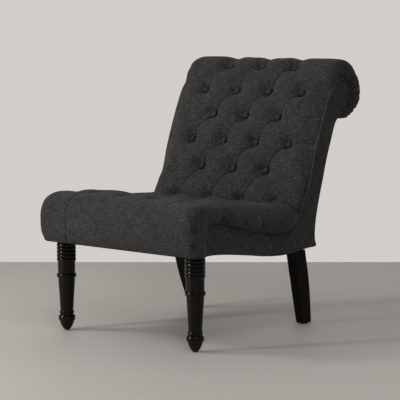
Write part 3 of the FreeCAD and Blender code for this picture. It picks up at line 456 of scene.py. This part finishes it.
# --- back
keys = [(0.0, 0), (back_gap, 14)] + [(r[0], 32) for r in back_rows] + [(BACK.length, 240)]
gap_row = (back_gap, 20.0, EVEN)
folds = []
for a, b in zip([gap_row] + back_rows, back_rows):
    folds += diagonals(a, b, lap=5.0)
s3, s1, s0 = back_rows[1][0], back_rows[3][0], back_rows[4][0]
for sx in (-1, 1):
    for s in (s3, s1):
        folds.append(((214.2 * sx, s), (372 * sx, s + (4 if s == s3 else 8)), 0.8, 0.95 if s == s3 else 0.7, 34, 34, 4.0 * sx, 0.25))
top = BACK.near((360, 902.5))
for x in ODD:
    lap = 4.0 * (1 if x >= 0 else -1)
    folds.append(((x, s0), (x, top), 0.85, 0.46, 40, 50, lap, 0.0))
    folds.append(((x, top), (x, BACK.length), 0.46, 0.40, 50, 24, lap, 0.0))
buttons = [(x, s, d) for s, d, xs in back_rows for x in xs]
back_buttons = list(buttons)
buttons += [(x, back_gap, 20.0) for x in EVEN]
roll_start, roll_end = BACK.near((285, 852)), BACK.length


def gathers(U, SS, P, move, shift_u, shift_s, S):
    """The cover is gathered round the scroll, in pleats that fan out from its edge."""
    edge = U[:, -1:] - np.abs(U)
    on = ease(SS, roll_start - 10, roll_start + 60) * (1 - ease(SS, roll_end - 50, roll_end))
    where = np.exp(-((edge / 44.0) ** 2)) * on
    r = np.random.default_rng(5)
    out = np.zeros(U.shape)
    for side in (-1, 1):
        at = roll_start + 12.0
        while at < roll_end - 30:
            lean = r.uniform(-0.35, 0.35)
            width = r.uniform(3.0, 5.5)
            d = SS - at - lean * edge
            out += np.where(np.sign(U) == side, r.uniform(0.6, 1.0) * np.exp(-np.abs(d / width) ** 1.3), 0)
            at += r.uniform(14, 30)
    # and the band stands up before it turns in
    band = np.exp(-(((edge - 24.0) / 16.0) ** 2)) * on
    return move + 1.0 * where + 2.2 * band - 8.5 * where * np.clip(out, 0, 1), shift_u, shift_s


back_piece, back_grid = cushion("back_cushion", BACK, BACK_PAIRS, keys, buttons, folds, back_shape, 23, after=gathers)
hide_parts("inside_back_cover", "back_batting", "back_foam", "roll_foam")


# ------------------------------------------------------------------ buttons
def button_set(name, places, line, node):
    """Covered buttons: low domes with the cloth drawn over a rounded edge to the back."""
    rings = [(0.0, 7.4), (2.2, 7.3), (4.4, 6.9), (6.4, 6.2), (8.1, 5.1), (9.4, 3.8), (10.3, 2.3), (10.6, 0.8), (10.1, -0.5), (8.6, -1.2), (5.0, -1.4), (0.0, -1.4)]
    n = 28
    pts, faces, weave = [], [], []
    r = np.random.default_rng(3)
    for x, s, depth in places:
        c, o = line.at(s), line.normal(s)
        tilt = r.uniform(-0.06, 0.06, 2)
        e1 = np.array([1.0, 0, tilt[0]])
        nrm = np.array([tilt[1], o[0], o[1]])
        nrm /= np.linalg.norm(nrm)
        e1 -= nrm * (e1 @ nrm)
        e1 /= np.linalg.norm(e1)
        e2 = np.cross(nrm, e1)
        foot = np.array([x, c[0], c[1]]) - np.array([0, o[0], o[1]]) * (depth - 3.2)
        base = len(pts)
        spin = r.uniform(0, 6.28)
        for k, (rad, h) in enumerate(rings):
            if rad == 0:
                pts.append(foot + nrm * h)
                weave.append((x, s))
                continue
            for i in range(n):
                a = 2 * math.pi * i / n
                wob = 1 + 0.012 * math.sin(5 * a + spin) + 0.01 * math.sin(9 * a + 2 * spin) * (k > 5)
                pts.append(foot + (e1 * math.cos(a) + e2 * math.sin(a)) * rad * wob + nrm * (h + 0.12 * (k > 4) * math.sin(11 * a + spin)))
                weave.append((x + rad * math.cos(a) * 1.1, s + rad * math.sin(a) * 1.1))
        # rings: first and last are points
        count = len(rings)
        starts = [base] + [base + 1 + n * i for i in range(count - 2)] + [base + 1 + n * (count - 2)]
        for i in range(n):
            j = (i + 1) % n
            faces.append((starts[0], starts[1] + i, starts[1] + j))
            for k in range(1, count - 2):
                a, b, c2, d = starts[k] + i, starts[k + 1] + i, starts[k + 1] + j, starts[k] + j
                faces += [(a, b, c2), (a, c2, d)]
            faces.append((starts[count - 2] + i, starts[count - 1], starts[count - 2] + j))
    o = mesh_piece(name, np.array(pts), np.array(faces), np.array(weave))
    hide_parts(node)
    return o


button_pieces = [
    button_set("back_button_domes", back_buttons, BACK, "back_buttons"),
    button_set("seat_button_domes", seat_buttons, SEAT, "seat_buttons"),
    button_set("crease_button_domes", [(x, seat_gap - 2, 16.0) for x in EVEN], SEAT, "crease_buttons"),
]


def twines():
    """Button twines: the frame's own, ended under the feet of the buttons as they sit in the padding."""
    src = NODES["button_twines"].data
    co = np.zeros(len(src.vertices) * 3, np.float32)
    src.vertices.foreach_get("co", co)
    co = co.reshape(-1, 3).astype(float) * 1000
    ed = np.zeros(len(src.edges) * 2, np.int32)
    src.edges.foreach_get("vertices", ed)
    key = np.unique(np.round(co, 2), axis=0, return_inverse=True)[1].ravel()
    parent = list(range(key.max() + 1))

    def root(i):
        while parent[i] != i:
            parent[i] = parent[parent[i]]
            i = parent[i]
        return i

    for a, b in key[ed.reshape(-1, 2)]:
        parent[root(a)] = root(b)
    group = np.array([root(i) for i in key])
    feet = []
    for places, line, drop in ((back_buttons, BACK, 0.6), (seat_buttons, SEAT, 0.6), ([(x, seat_gap - 2, 16.0) for x in EVEN], SEAT, 0.6)):
        for x, s, depth in places:
            c, o = line.at(s), line.normal(s)
            feet.append(np.array([x, c[0] - o[0] * (depth + drop), c[1] - o[1] * (depth + drop)]))
    feet = np.array(feet)
    pts, faces = [], []
    n = 8
    for g in np.unique(group):
        p = co[group == g]
        c = p.mean(0)
        axis = np.linalg.svd(p - c)[2][0]
        t = (p - c) @ axis
        ends = [p[t <= t.min() + 2.5].mean(0), p[t >= t.max() - 2.5].mean(0)]
        gap = [np.linalg.norm(feet - e, axis=1).min() for e in ends]
        top, far = (ends[0], ends[1]) if gap[0] < gap[1] else (ends[1], ends[0])
        foot = feet[np.argmin(np.linalg.norm(feet - top, axis=1))]
        run = far - foot
        size = np.linalg.norm(run)
        run /= size
        e1 = np.cross(run, [1.0, 0.0, 0.0])
        e1 /= np.linalg.norm(e1)
        e2 = np.cross(run, e1)
        base, steps = len(pts), 24
        for k in range(steps + 1):
            for i in range(n):
                # two plies laid round each other
                a = 2 * math.pi * i / n
                rad = 0.8 * (0.72 + 0.28 * abs(math.cos(a + k * 0.9)))
                pts.append(foot + run * (size * k / steps) + (e1 * math.cos(a) + e2 * math.sin(a)) * rad)
        for k in range(steps):
            for i in range(n):
                j = (i + 1) % n
                a, b, c2, d = base + k * n + i, base + k * n + j, base + (k + 1) * n + j, base + (k + 1) * n + i
                faces += [(a, c2, b), (a, d, c2)]
        for i in range(1, n - 1):
            faces.append((base, base + i, base + i + 1))
            faces.append((base + steps * n, base + steps * n + i + 1, base + steps * n + i))
    o = mesh_piece("button_twine_set", np.array(pts), np.array(faces))
    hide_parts("button_twines")
    return o


twine_piece = twines()

# ------------------------------------------------------------------ side covers
def side_cover(name, sx, nodes):
    """A side cover, lightly padded, from its lower and rear edge to the seam, up into the scroll."""
    low = Line(BOTTOM + REAR[1:] + SCROLL_UNDER[1:], 0)
    high = SEAM
    top = high.near((352, 831))
    # matched places on both edges
    ties = [((-366, 305), (-366, 345)), ((-330, 304.5), (-361, 397)), ((-305, 304), (-310, 399)), ((-152, 286), (-161, 366)),
            ((-20, 270), (-30, 342)), ((60, 269), (60, 349)), ((140, 277), (90, 368)), ((208, 281), (106, 392)),
            ((200, 318), (112, 402)), ((205, 366), (132, 436)), ((221, 432), (160, 482)), ((242, 498), (177, 535)),
            ((262, 564), (192, 584)), ((287, 630), (220, 658)), ((316, 694), (247, 728)), ((346, 712), (262, 760)),
            ((372, 730), (277, 787)), ((390, 757), (290, 802)), ((392, 800), (320, 826)), ((356, 830.5), (348, 831))]
    a, b = [], []
    la = lb = 0.0
    for p, q in ties:
        la, lb = low.near(p, la - 1, la + 220), high.near(q, lb - 1, top)
        a.append(la)
        b.append(lb)
    a[0] = 0.0
    rows = 300
    cum = np.concatenate([[0], np.cumsum(np.maximum(np.diff(a), np.diff(b)) + 1)])
    v = np.linspace(0, cum[-1], rows)
    A, B = low.at(np.interp(v, cum, a)), high.at(np.interp(v, cum, b))
    cols = 40
    t = np.linspace(0, 1, cols)
    t = 0.5 - 0.5 * np.cos(math.pi * t) * (0.55 + 0.45 * np.abs(np.cos(math.pi * t)) ** 0.5)
    t = (t - t[0]) / (t[-1] - t[0])
    Y = A[:, None, 0] * (1 - t) + B[:, None, 0] * t
    Z = A[:, None, 1] * (1 - t) + B[:, None, 1] * t
    gap = np.linalg.norm(B - A, axis=1)[:, None]
    d = np.minimum(t, 1 - t)[None] * gap
    d = np.minimum(d, (v - v[0])[:, None] + 2)
    d = np.minimum(d, (v[-1] - v)[:, None] + 2)
    puff = 2.6 * (1 - np.exp(-d / 11.0))
    puff += 0.35 * Waves(41 + sx, 60, 150).at(Y, Z) * ease(d, 0, 20)
    X = sx * (324.6 + puff)
    X2 = np.full(Y.shape, sx * 323.5)
    outer, inner = np.stack([X, Y, Z], -1), np.stack([X2, Y, Z], -1)
    if sx > 0:
        outer, inner = outer[:, ::-1], inner[:, ::-1]
    pts, faces = closed_grid(outer, inner)
    weave = pts[:, 1:] + np.array([700.0 * sx, 1300.0])
    o = mesh_piece(name, pts, faces, weave)
    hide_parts(*nodes)
    return o


def seam_bead(name, sx):
    """A narrow self-covered bead in the seam between the back cushion and the side cover."""
    s = np.arange(SEAM.near((92, 372)), SEAM.near((352, 831)), 2.5)
    c = SEAM.at(s)
    d = np.gradient(c, axis=0)
    d /= np.linalg.norm(d, axis=1, keepdims=True)
    side = np.stack([-d[:, 1], d[:, 0]], 1)
    n = 10
    a = np.linspace(0, 2 * math.pi, n, endpoint=False)
    rad = 3.0 * np.minimum(1, np.minimum(np.arange(len(s)) + 1, np.arange(len(s), 0, -1)) / 4.0)
    pts = np.zeros((len(s), n, 3))
    pts[..., 0] = sx * (328.2 + np.sin(a)[None] * rad[:, None])
    pts[..., 1] = c[:, None, 0] + side[:, None, 0] * (0.4 + np.cos(a)[None] * rad[:, None])
    pts[..., 2] = c[:, None, 1] + side[:, None, 1] * (0.4 + np.cos(a)[None] * rad[:, None])
    i, j = np.meshgrid(np.arange(len(s) - 1), np.arange(n), indexing="ij")
    k = (j + 1) % n
    q = np.stack([i * n + j, i * n + k, (i + 1) * n + k, (i + 1) * n + j], -1).reshape(-1, 4)
    faces = np.concatenate([q[:, [0, 1, 2]], q[:, [0, 2, 3]]])
    last = (len(s) - 1) * n
    caps = [(0, m + 1, m) for m in range(1, n - 1)] + [(last, last + m, last + m + 1) for m in range(1, n - 1)]
    faces = np.concatenate([faces, np.array(caps)])
    if sx < 0:
        faces = faces[:, ::-1]
    weave = np.stack([np.broadcast_to(s[:, None], (len(s), n)) * 0.7, np.broadcast_to(a[None] * 1.7, (len(s), n)) + s[:, None] * 0.7], -1).reshape(-1, 2)
    o = mesh_piece(name, pts.reshape(-1, 3), faces, weave)
    return o


bead_pieces = [seam_bead("seam_bead_left", -1), seam_bead("seam_bead_right", 1)]
side_pieces = [
    side_cover("side_panel_left", -1, ("side_cover_left", "side_padding_left")),
    side_cover("side_panel_right", 1, ("side_cover_right", "side_padding_right")),
]


# ------------------------------------------------------------------ outside back
def outside_back():
    line = Line(REAR + [(323, 706)], 4.0)
    rows, cols = 130, 190
    s = np.linspace(0, line.length, rows)
    c, nrm = line.at(s), -line.normal(s)
    x = np.linspace(-323.2, 323.2, cols)
    d = np.minimum(np.minimum(s, line.length - s)[:, None], (323.2 - np.abs(x))[None])
    puff = 3.0 * (1 - np.exp(-d / 16.0)) + 0.5 * Waves(77, 90, 220).at(x[None], s[:, None]) * ease(d, 0, 40)
    # the cover is drawn under the bottom edge, which stands a little proud
    puff = puff + 1.2 * np.exp(-(((s - 6) / 7.0) ** 2))[:, None]
    outer = np.zeros((rows, cols, 3))
    outer[..., 0] = x[None]
    outer[..., 1] = c[:, None, 0] + nrm[:, None, 0] * puff
    outer[..., 2] = c[:, None, 1] + nrm[:, None, 1] * puff
    inner = outer.copy()
    inner[..., 1] = c[:, None, 0] - nrm[:, None, 0] * 1.4
    inner[..., 2] = c[:, None, 1] - nrm[:, None, 1] * 1.4
    pts, faces = closed_grid(outer[:, ::-1], inner[:, ::-1])
    weave = np.stack([np.broadcast_to(x[None], (rows, cols))[:, ::-1], np.broadcast_to(s[:, None], (rows, cols))], -1).reshape(-1, 2) + 3000.0
    o = mesh_piece("outside_back_panel", pts, faces, np.concatenate([weave, weave]))
    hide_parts("outside_back_cover")
    return o


back_panel = outside_back()


# ------------------------------------------------------------------ dust cover
def dust_cover():
    """The black cloth under the frame, tacked along its edges and cut round the rear legs."""
    line = Line([(-423.5, 303.8), (-305, 303.2), (-152, 285.6), (-69, 273.6), (16, 266.8), (58, 267.2), (150, 275.4), (200, 280.2)], 3.0)
    ys = sorted(set(np.round(np.concatenate([np.linspace(0, line.length, 120), [line.near((147, 275)), line.near((187, 279))]]), 4)))
    s = np.array(ys)
    c = line.at(s)
    x = np.unique(np.concatenate([np.linspace(-321.5, 321.5, 130), [-283, -237, 237, 283]]))
    SX, XX = np.meshgrid(s, x, indexing="ij")
    d = np.minimum(np.minimum(SX, line.length - SX), 321.5 - np.abs(XX))
    sag = 3.2 * ease(d, 4, 150) + 0.35 * Waves(9, 40, 120).at(XX, SX) * ease(d, 3, 40)
    # small puckers at the tacks
    ring = np.where(321.5 - np.abs(XX) < np.minimum(SX, line.length - SX), SX, XX)
    sag += 0.5 * np.exp(-d / 12.0) * (1 - np.cos(ring * 2 * math.pi / 38.0)) * ease(d, 0, 6)
    top = np.stack([XX, np.broadcast_to(c[:, None, 0], XX.shape), np.broadcast_to(c[:, None, 1], XX.shape) - sag], -1)
    low = top - np.array([0, 0, 0.8])
    rows, cols = XX.shape
    yc, xc = (top[:-1, :-1, 1] + top[1:, 1:, 1]) / 2, np.abs(top[:-1, :-1, 0] + top[1:, 1:, 0]) / 2
    keep = ~((yc > 146) & (yc < 190) & (xc > 237) & (xc < 283))
    i, j = np.nonzero(keep)
    idx = lambda a, b: a * cols + b
    quads = np.stack([idx(i, j), idx(i, j + 1), idx(i + 1, j + 1), idx(i + 1, j)], 1)
    n = rows * cols
    edges = {}
    for q in quads:
        for k in range(4):
            e = (q[k], q[(k + 1) % 4])
            edges[e] = True
    rim = [(a, b) for a, b in edges if (b, a) not in edges]
    faces = [tuple(q) for q in quads] + [tuple(v + n for v in q[::-1]) for q in quads]
    faces += [(b, a, a + n, b + n) for a, b in rim]
    used = np.unique(np.array(faces))
    back = np.full(2 * n, -1)
    back[used] = np.arange(len(used))
    pts = np.concatenate([top.reshape(-1, 3), low.reshape(-1, 3)])[used]
    o = mesh_piece("bottom_cloth", pts, back[np.array(faces)], pts[:, :2] + 900.0)
    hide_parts("dust_cover")
    return o, line.length


bottom_cloth, bottom_length = dust_cover()


# ------------------------------------------------------------------ materials
def new_material(name):
    m = bpy.data.materials.new(name)
    m.use_nodes = True
    t = m.node_tree
    t.nodes.clear()
    out = t.nodes.new("ShaderNodeOutputMaterial")
    shader = t.nodes.new("ShaderNodeBsdfPrincipled")
    t.links.new(shader.outputs["BSDF"], out.inputs["Surface"])
    return m, t, shader


def node(t, kind, inputs=None, **props):
    n = t.nodes.new(kind)
    for k, v in props.items():
        setattr(n, k, v)
    for k, v in (inputs or {}).items():
        if isinstance(v, bpy.types.NodeSocket):
            t.links.new(v, n.inputs[k])
        else:
            n.inputs[k].default_value = v
    return n


def mapped(t, vector, scale, place=(0, 0, 0), turn=(0, 0, 0)):
    return node(t, "ShaderNodeMapping", {"Vector": vector, "Scale": scale, "Location": place, "Rotation": turn}).outputs["Vector"]


def noise(t, vector, scale, detail=2.0, rough=0.5):
    return node(t, "ShaderNodeTexNoise", {"Vector": vector, "Scale": scale, "Detail": detail, "Roughness": rough}).outputs["Fac"]


def calc(t, op, a, b=0.0, c=None):
    n = node(t, "ShaderNodeMath", operation=op)
    for i, v in enumerate((a, b) if c is None else (a, b, c)):
        if isinstance(v, bpy.types.NodeSocket):
            t.links.new(v, n.inputs[i])
        else:
            n.inputs[i].default_value = v
    return n.outputs[0]


def ramp(t, fac, stops):
    n = node(t, "ShaderNodeValToRGB", {"Fac": fac})
    e = n.color_ramp.elements
    while len(e) < len(stops):
        e.new(0.5)
    for k, (p, c) in zip(e, stops):
        k.position = p
        k.color = (*c, 1.0)
    return n.outputs["Color"]


def spread_value(t, fac, a, b, low, high):
    n = node(t, "ShaderNodeMapRange", {"Value": fac, "From Min": a, "From Max": b, "To Min": low, "To Max": high})
    return n.outputs["Result"]


def cloth(name, dark, mid, light, thread=1.15, sheen=0.16):
    """Slubby plain weave, laid along the unrolled cloth."""
    m, t, b = new_material(name)
    v = node(t, "ShaderNodeAttribute", attribute_name="weave").outputs["Vector"]
    warp = noise(t, mapped(t, v, (640, 44, 1)), 1.0, 2.0, 0.5)
    weft = noise(t, mapped(t, v, (40, 600, 1), (3, 1, 7)), 1.0, 2.0, 0.5)
    slub_u = noise(t, mapped(t, v, (340, 36, 1), (11, 5, 2)), 1.0, 1.0, 0.4)
    slub_s = noise(t, mapped(t, v, (30, 330, 1), (7, 9, 4)), 1.0, 1.0, 0.4)
    streak = calc(t, "ADD", calc(t, "MULTIPLY", warp, 0.5), calc(t, "MULTIPLY", weft, 0.5))
    slub = calc(t, "ADD", calc(t, "MULTIPLY", slub_u, 0.5), calc(t, "MULTIPLY", slub_s, 0.5))
    slow = noise(t, v, 9.0, 2.0, 0.5)
    fac = calc(t, "ADD", calc(t, "MULTIPLY", streak, 0.55), calc(t, "MULTIPLY", slub, 0.45))
    fac = calc(t, "ADD", fac, calc(t, "MULTIPLY", calc(t, "SUBTRACT", slow, 0.5), 0.08))
    colour = ramp(t, fac, [(0.37, dark), (0.5, mid), (0.63, light)])
    t.links.new(colour, b.inputs["Base Color"])
    rough = spread_value(t, fac, 0.36, 0.64, 0.97, 0.84)
    t.links.new(rough, b.inputs["Roughness"])
    # thread relief
    sep = node(t, "ShaderNodeSeparateXYZ", {"Vector": v})
    k = 2 * math.pi / (thread * 0.001)
    wob = calc(t, "MULTIPLY", calc(t, "SUBTRACT", warp, 0.5), 2.2)
    wav = calc(t, "MULTIPLY", calc(t, "SUBTRACT", weft, 0.5), 2.2)
    su = calc(t, "SINE", calc(t, "ADD", calc(t, "MULTIPLY", sep.outputs["X"], k), wav))
    sv = calc(t, "SINE", calc(t, "ADD", calc(t, "MULTIPLY", sep.outputs["Y"], k), wob))
    weave = calc(t, "MULTIPLY", su, sv)
    height = calc(t, "ADD", calc(t, "MULTIPLY", weave, 0.30), calc(t, "MULTIPLY", streak, 1.6))
    bump = node(t, "ShaderNodeBump", {"Height": height, "Strength": 0.55, "Distance": 0.0007})
    t.links.new(bump.outputs["Normal"], b.inputs["Normal"])
    b.inputs["Sheen Weight"].default_value = sheen
    b.inputs["Sheen Roughness"].default_value = 0.45
    b.inputs["Sheen Tint"].default_value = (0.72, 0.71, 0.69, 1)
    b.inputs["Specular IOR Level"].default_value = 0.22
    return m


def lacquer(name, coat, specular, low, high):
    """Black lacquer over turned hardwood: deep gloss, faint grain, edges rubbed a little brown."""
    m, t, b = new_material(name)
    v = node(t, "ShaderNodeTexCoord").outputs["Object"]
    grain = noise(t, mapped(t, v, (120, 120, 9)), 1.0, 5.0, 0.6)
    slow = noise(t, v, 22.0, 3.0, 0.5)
    edge = node(t, "ShaderNodeNewGeometry").outputs["Pointiness"]
    rub = spread_value(t, edge, 0.52, 0.60, 0.0, 1.0)
    rub = calc(t, "MULTIPLY", rub, slow)
    fac = calc(t, "ADD", calc(t, "MULTIPLY", grain, 0.7), calc(t, "MULTIPLY", rub, 0.5))
    colour = ramp(t, fac, [(0.2, (0.0012, 0.0010, 0.0010)), (0.6, (0.0028, 0.0022, 0.0020)), (1.0, (0.016, 0.009, 0.006))])
    t.links.new(colour, b.inputs["Base Color"])
    t.links.new(spread_value(t, slow, 0.3, 0.7, low, high), b.inputs["Roughness"])
    bump = node(t, "ShaderNodeBump", {"Height": grain, "Strength": 0.12, "Distance": 0.0006})
    t.links.new(bump.outputs["Normal"], b.inputs["Normal"])
    b.inputs["Coat Weight"].default_value = coat
    b.inputs["Coat Roughness"].default_value = 0.04
    b.inputs["Specular IOR Level"].default_value = specular
    return m


def bare_wood(name, a, c):
    m, t, b = new_material(name)
    v = node(t, "ShaderNodeTexCoord").outputs["Object"]
    warped = node(t, "ShaderNodeVectorMath", {0: mapped(t, v, (7, 60, 60)), 1: node(t, "ShaderNodeTexNoise", {"Vector": v, "Scale": 6.0}).outputs["Color"]}, operation="ADD").outputs[0]
    grain = noise(t, warped, 1.0, 6.0, 0.62)
    colour = ramp(t, grain, [(0.3, a), (0.7, c)])
    t.links.new(colour, b.inputs["Base Color"])
    t.links.new(spread_value(t, grain, 0.3, 0.7, 0.62, 0.78), b.inputs["Roughness"])
    bump = node(t, "ShaderNodeBump", {"Height": grain, "Strength": 0.25, "Distance": 0.0008})
    t.links.new(bump.outputs["Normal"], b.inputs["Normal"])
    return m


def steel(name):
    m, t, b = new_material(name)
    v = node(t, "ShaderNodeTexCoord").outputs["Object"]
    spots = noise(t, v, 160.0, 4.0, 0.6)
    t.links.new(ramp(t, spots, [(0.3, (0.30, 0.29, 0.27)), (0.75, (0.52, 0.52, 0.51))]), b.inputs["Base Color"])
    t.links.new(spread_value(t, spots, 0.3, 0.7, 0.28, 0.48), b.inputs["Roughness"])
    b.inputs["Metallic"].default_value = 1.0
    return m


def coarse_weave(name, a, c, pitch=2.4):
    m, t, b = new_material(name)
    v = node(t, "ShaderNodeTexCoord").outputs["Object"]
    k = 2 * math.pi / (pitch * 0.001)
    sep = node(t, "ShaderNodeSeparateXYZ", {"Vector": v})
    other = calc(t, "ADD", sep.outputs["Y"], sep.outputs["Z"])
    w = calc(t, "MULTIPLY", calc(t, "SINE", calc(t, "MULTIPLY", sep.outputs["X"], k)), calc(t, "SINE", calc(t, "MULTIPLY", other, k)))
    fibre = noise(t, v, 420.0, 3.0, 0.6)
    fac = calc(t, "ADD", calc(t, "MULTIPLY", w, 0.25), fibre)
    t.links.new(ramp(t, fac, [(0.25, a), (0.8, c)]), b.inputs["Base Color"])
    t.links.new(spread_value(t, fibre, 0.3, 0.7, 0.85, 0.98), b.inputs["Roughness"])
    bump = node(t, "ShaderNodeBump", {"Height": fac, "Strength": 0.5, "Distance": 0.0008})
    t.links.new(bump.outputs["Normal"], b.inputs["Normal"])
    return m


def moulded(name, colour, colour2):
    m, t, b = new_material(name)
    v = node(t, "ShaderNodeTexCoord").outputs["Object"]
    fine = noise(t, v, 900.0, 2.0, 0.5)
    wear = noise(t, v, 70.0, 3.0, 0.55)
    t.links.new(ramp(t, wear, [(0.35, colour), (0.75, colour2)]), b.inputs["Base Color"])
    t.links.new(spread_value(t, wear, 0.3, 0.7, 0.42, 0.62), b.inputs["Roughness"])
    bump = node(t, "ShaderNodeBump", {"Height": fine, "Strength": 0.2, "Distance": 0.0003})
    t.links.new(bump.outputs["Normal"], b.inputs["Normal"])
    return m


linen = cloth("charcoal_linen", (0.0125, 0.0122, 0.0116), (0.033, 0.0320, 0.0305), (0.078, 0.0755, 0.0715), sheen=0.07)
# the bead's linen is lighter than the cushions' own cloth: a painted highlight along the seam, where the same cloth
# would catch the light
bead_linen_painted_highlight = cloth("seam_linen_painted_highlight", (0.022, 0.0215, 0.0205), (0.050, 0.0485, 0.046), (0.10, 0.097, 0.092), sheen=0.1)
black_gloss = lacquer("black_lacquer_gloss", 0.34, 0.05, 0.15, 0.21)
black_satin = lacquer("black_lacquer_satin", 0.08, 0.05, 0.30, 0.42)
poplar = bare_wood("frame_poplar", (0.36, 0.24, 0.13), (0.60, 0.45, 0.28))
board = bare_wood("fibre_board", (0.20, 0.13, 0.08), (0.30, 0.21, 0.13))
wire = steel("spring_steel")
jute = coarse_weave("jute_webbing", (0.22, 0.15, 0.08), (0.45, 0.34, 0.20))
cotton = coarse_weave("cotton_wadding", (0.55, 0.53, 0.48), (0.80, 0.78, 0.73), 4.0)
deck = coarse_weave("deck_cotton", (0.20, 0.19, 0.17), (0.36, 0.34, 0.31), 1.6)
plastic = moulded("glide_plastic", (0.012, 0.012, 0.012), (0.035, 0.034, 0.032))
tacked = cloth("bottom_black_cloth", (0.006, 0.006, 0.006), (0.012, 0.012, 0.012), (0.024, 0.024, 0.024), 0.9, 0.1)

FINISH = {
    "front_leg_left": black_gloss, "front_leg_right": black_gloss, "rear_leg_left": black_satin, "rear_leg_right": black_satin,
    "glides": plastic, "twine_toggles": plastic, "button_twines": jute, "back_burlap": jute, "back_webbing_upright": jute,
    "back_webbing_cross": jute, "deck_cloth": deck, "outside_back_board": board, "roll_board": board,
    "seat_springs": wire, "spring_clips": wire, "spring_tie_wires": wire, "corner_block_screws": wire, "front_leg_bolts": wire,
    "front_leg_plates": wire, "rear_leg_bolts": wire, "rear_leg_washers": wire, "rear_leg_nuts": wire,
}


def paint(o, m):
    if not o.material_slots:
        o.data.materials.append(m)
    for s in o.material_slots:
        s.material = m


for name, o in NODES.items():
    if not o.hide_render:
        paint(o, FINISH.get(name, poplar))
for o in [seat_piece, back_piece, *button_pieces, *side_pieces, back_panel]:
    paint(o, linen)
# the seam beads take the lighter linen, a painted highlight line along the seam
for o in bead_pieces:
    paint(o, bead_linen_painted_highlight)
paint(bottom_cloth, tacked)
paint(twine_piece, jute)

# ------------------------------------------------------------------ stage, light and camera
floor_mesh = bpy.data.meshes.new("floor")
FLOOR_TURN, FLOOR_FAR = math.radians(40.727), 6.96
ahead = Vector((-math.sin(FLOOR_TURN), math.cos(FLOOR_TURN), 0))
across = Vector((math.cos(FLOOR_TURN), math.sin(FLOOR_TURN), 0))
stand = Vector((3.589, -4.181, 0))
corners = [stand + ahead * a + across * b for a, b in ((FLOOR_FAR, -40), (-30, -40), (-30, 40), (FLOOR_FAR, 40))]
floor_mesh.from_pydata([tuple(c) for c in corners], [], [(0, 1, 2, 3)])
floor = bpy.data.objects.new("floor", floor_mesh)
bpy.context.scene.collection.objects.link(floor)
m, t, b = new_material("pale_floor")
v = node(t, "ShaderNodeTexCoord").outputs["Object"]
t.links.new(ramp(t, noise(t, v, 0.9, 2.0), [(0.3, (0.555, 0.530, 0.495)), (0.7, (0.585, 0.560, 0.525))]), b.inputs["Base Color"])
b.inputs["Roughness"].default_value = 0.6
b.inputs["Specular IOR Level"].default_value = 0.3
floor_mesh.materials.append(m)

bpy.context.scene.view_settings.view_transform = "Standard"
world = bpy.data.worlds.new("studio")
bpy.context.scene.world = world
world.use_nodes = True
# a pale wall on the far side and a dimmer room on the near side
wt = world.node_tree
facing = node(wt, "ShaderNodeVectorMath", {0: node(wt, "ShaderNodeTexCoord").outputs["Generated"], 1: (-0.55, 0.83, 0.05)}, operation="DOT_PRODUCT").outputs["Value"]
facing = spread_value(wt, facing, -0.15, 0.75, 0.0, 1.0)
wt.links.new(ramp(wt, facing, [(0.0, (0.150, 0.152, 0.158)), (0.5, (0.33, 0.325, 0.315)), (1.0, (0.64, 0.62, 0.59))]), wt.nodes["Background"].inputs["Color"])
wt.nodes["Background"].inputs["Strength"].default_value = 1.0


def lamp(kind, name, place, aim, power, colour=(1, 1, 1), size=(1, 1), angle=0.5):
    d = bpy.data.lights.new(name, kind)
    d.energy = power
    d.color = colour
    if kind == "AREA":
        d.shape = "RECTANGLE"
        d.size, d.size_y = size
    else:
        d.angle = angle
    o = bpy.data.objects.new(name, d)
    o.location = place
    o.rotation_euler = (Vector(aim) - Vector(place)).to_track_quat("-Z", "Y").to_euler()
    bpy.context.scene.collection.objects.link(o)
    return o


lamp("AREA", "front_soft", (-1.0, -3.2, 1.4), (0, 0, 0.4), 6, (1.0, 0.99, 0.97), (1.0, 1.0))
lamp("AREA", "upper_left", (-2.0, -1.9, 2.7), (0, 0, 0.5), 30, (1.0, 0.98, 0.95), (0.7, 0.7))
lamp("AREA", "above", (1.7, -1.1, 3.0), (0, 0, 0.4), 12, (0.98, 0.99, 1.0), (0.9, 0.9))
lamp("AREA", "strip", (-1.4, -3.0, 0.86), (0, 0, 0.45), 42, (1.0, 1.0, 1.0), (0.10, 1.7))
lamp("AREA", "strip_right", (2.5, -2.3, 2.1), (0, 0, 0.3), 13, (1.0, 1.0, 1.0), (0.06, 0.9))

camera = bpy.data.objects.new("camera", bpy.data.cameras.new("camera"))
camera.data.sensor_width = 36.0
camera.data.lens = 147.70
camera.location = (3.589, -4.181, 1.033)
camera.rotation_euler = (math.radians(83.725), 0.0, math.radians(40.727))
camera.data.clip_start, camera.data.clip_end = 0.1, 60
bpy.context.scene.collection.objects.link(camera)
bpy.context.scene.camera = camera
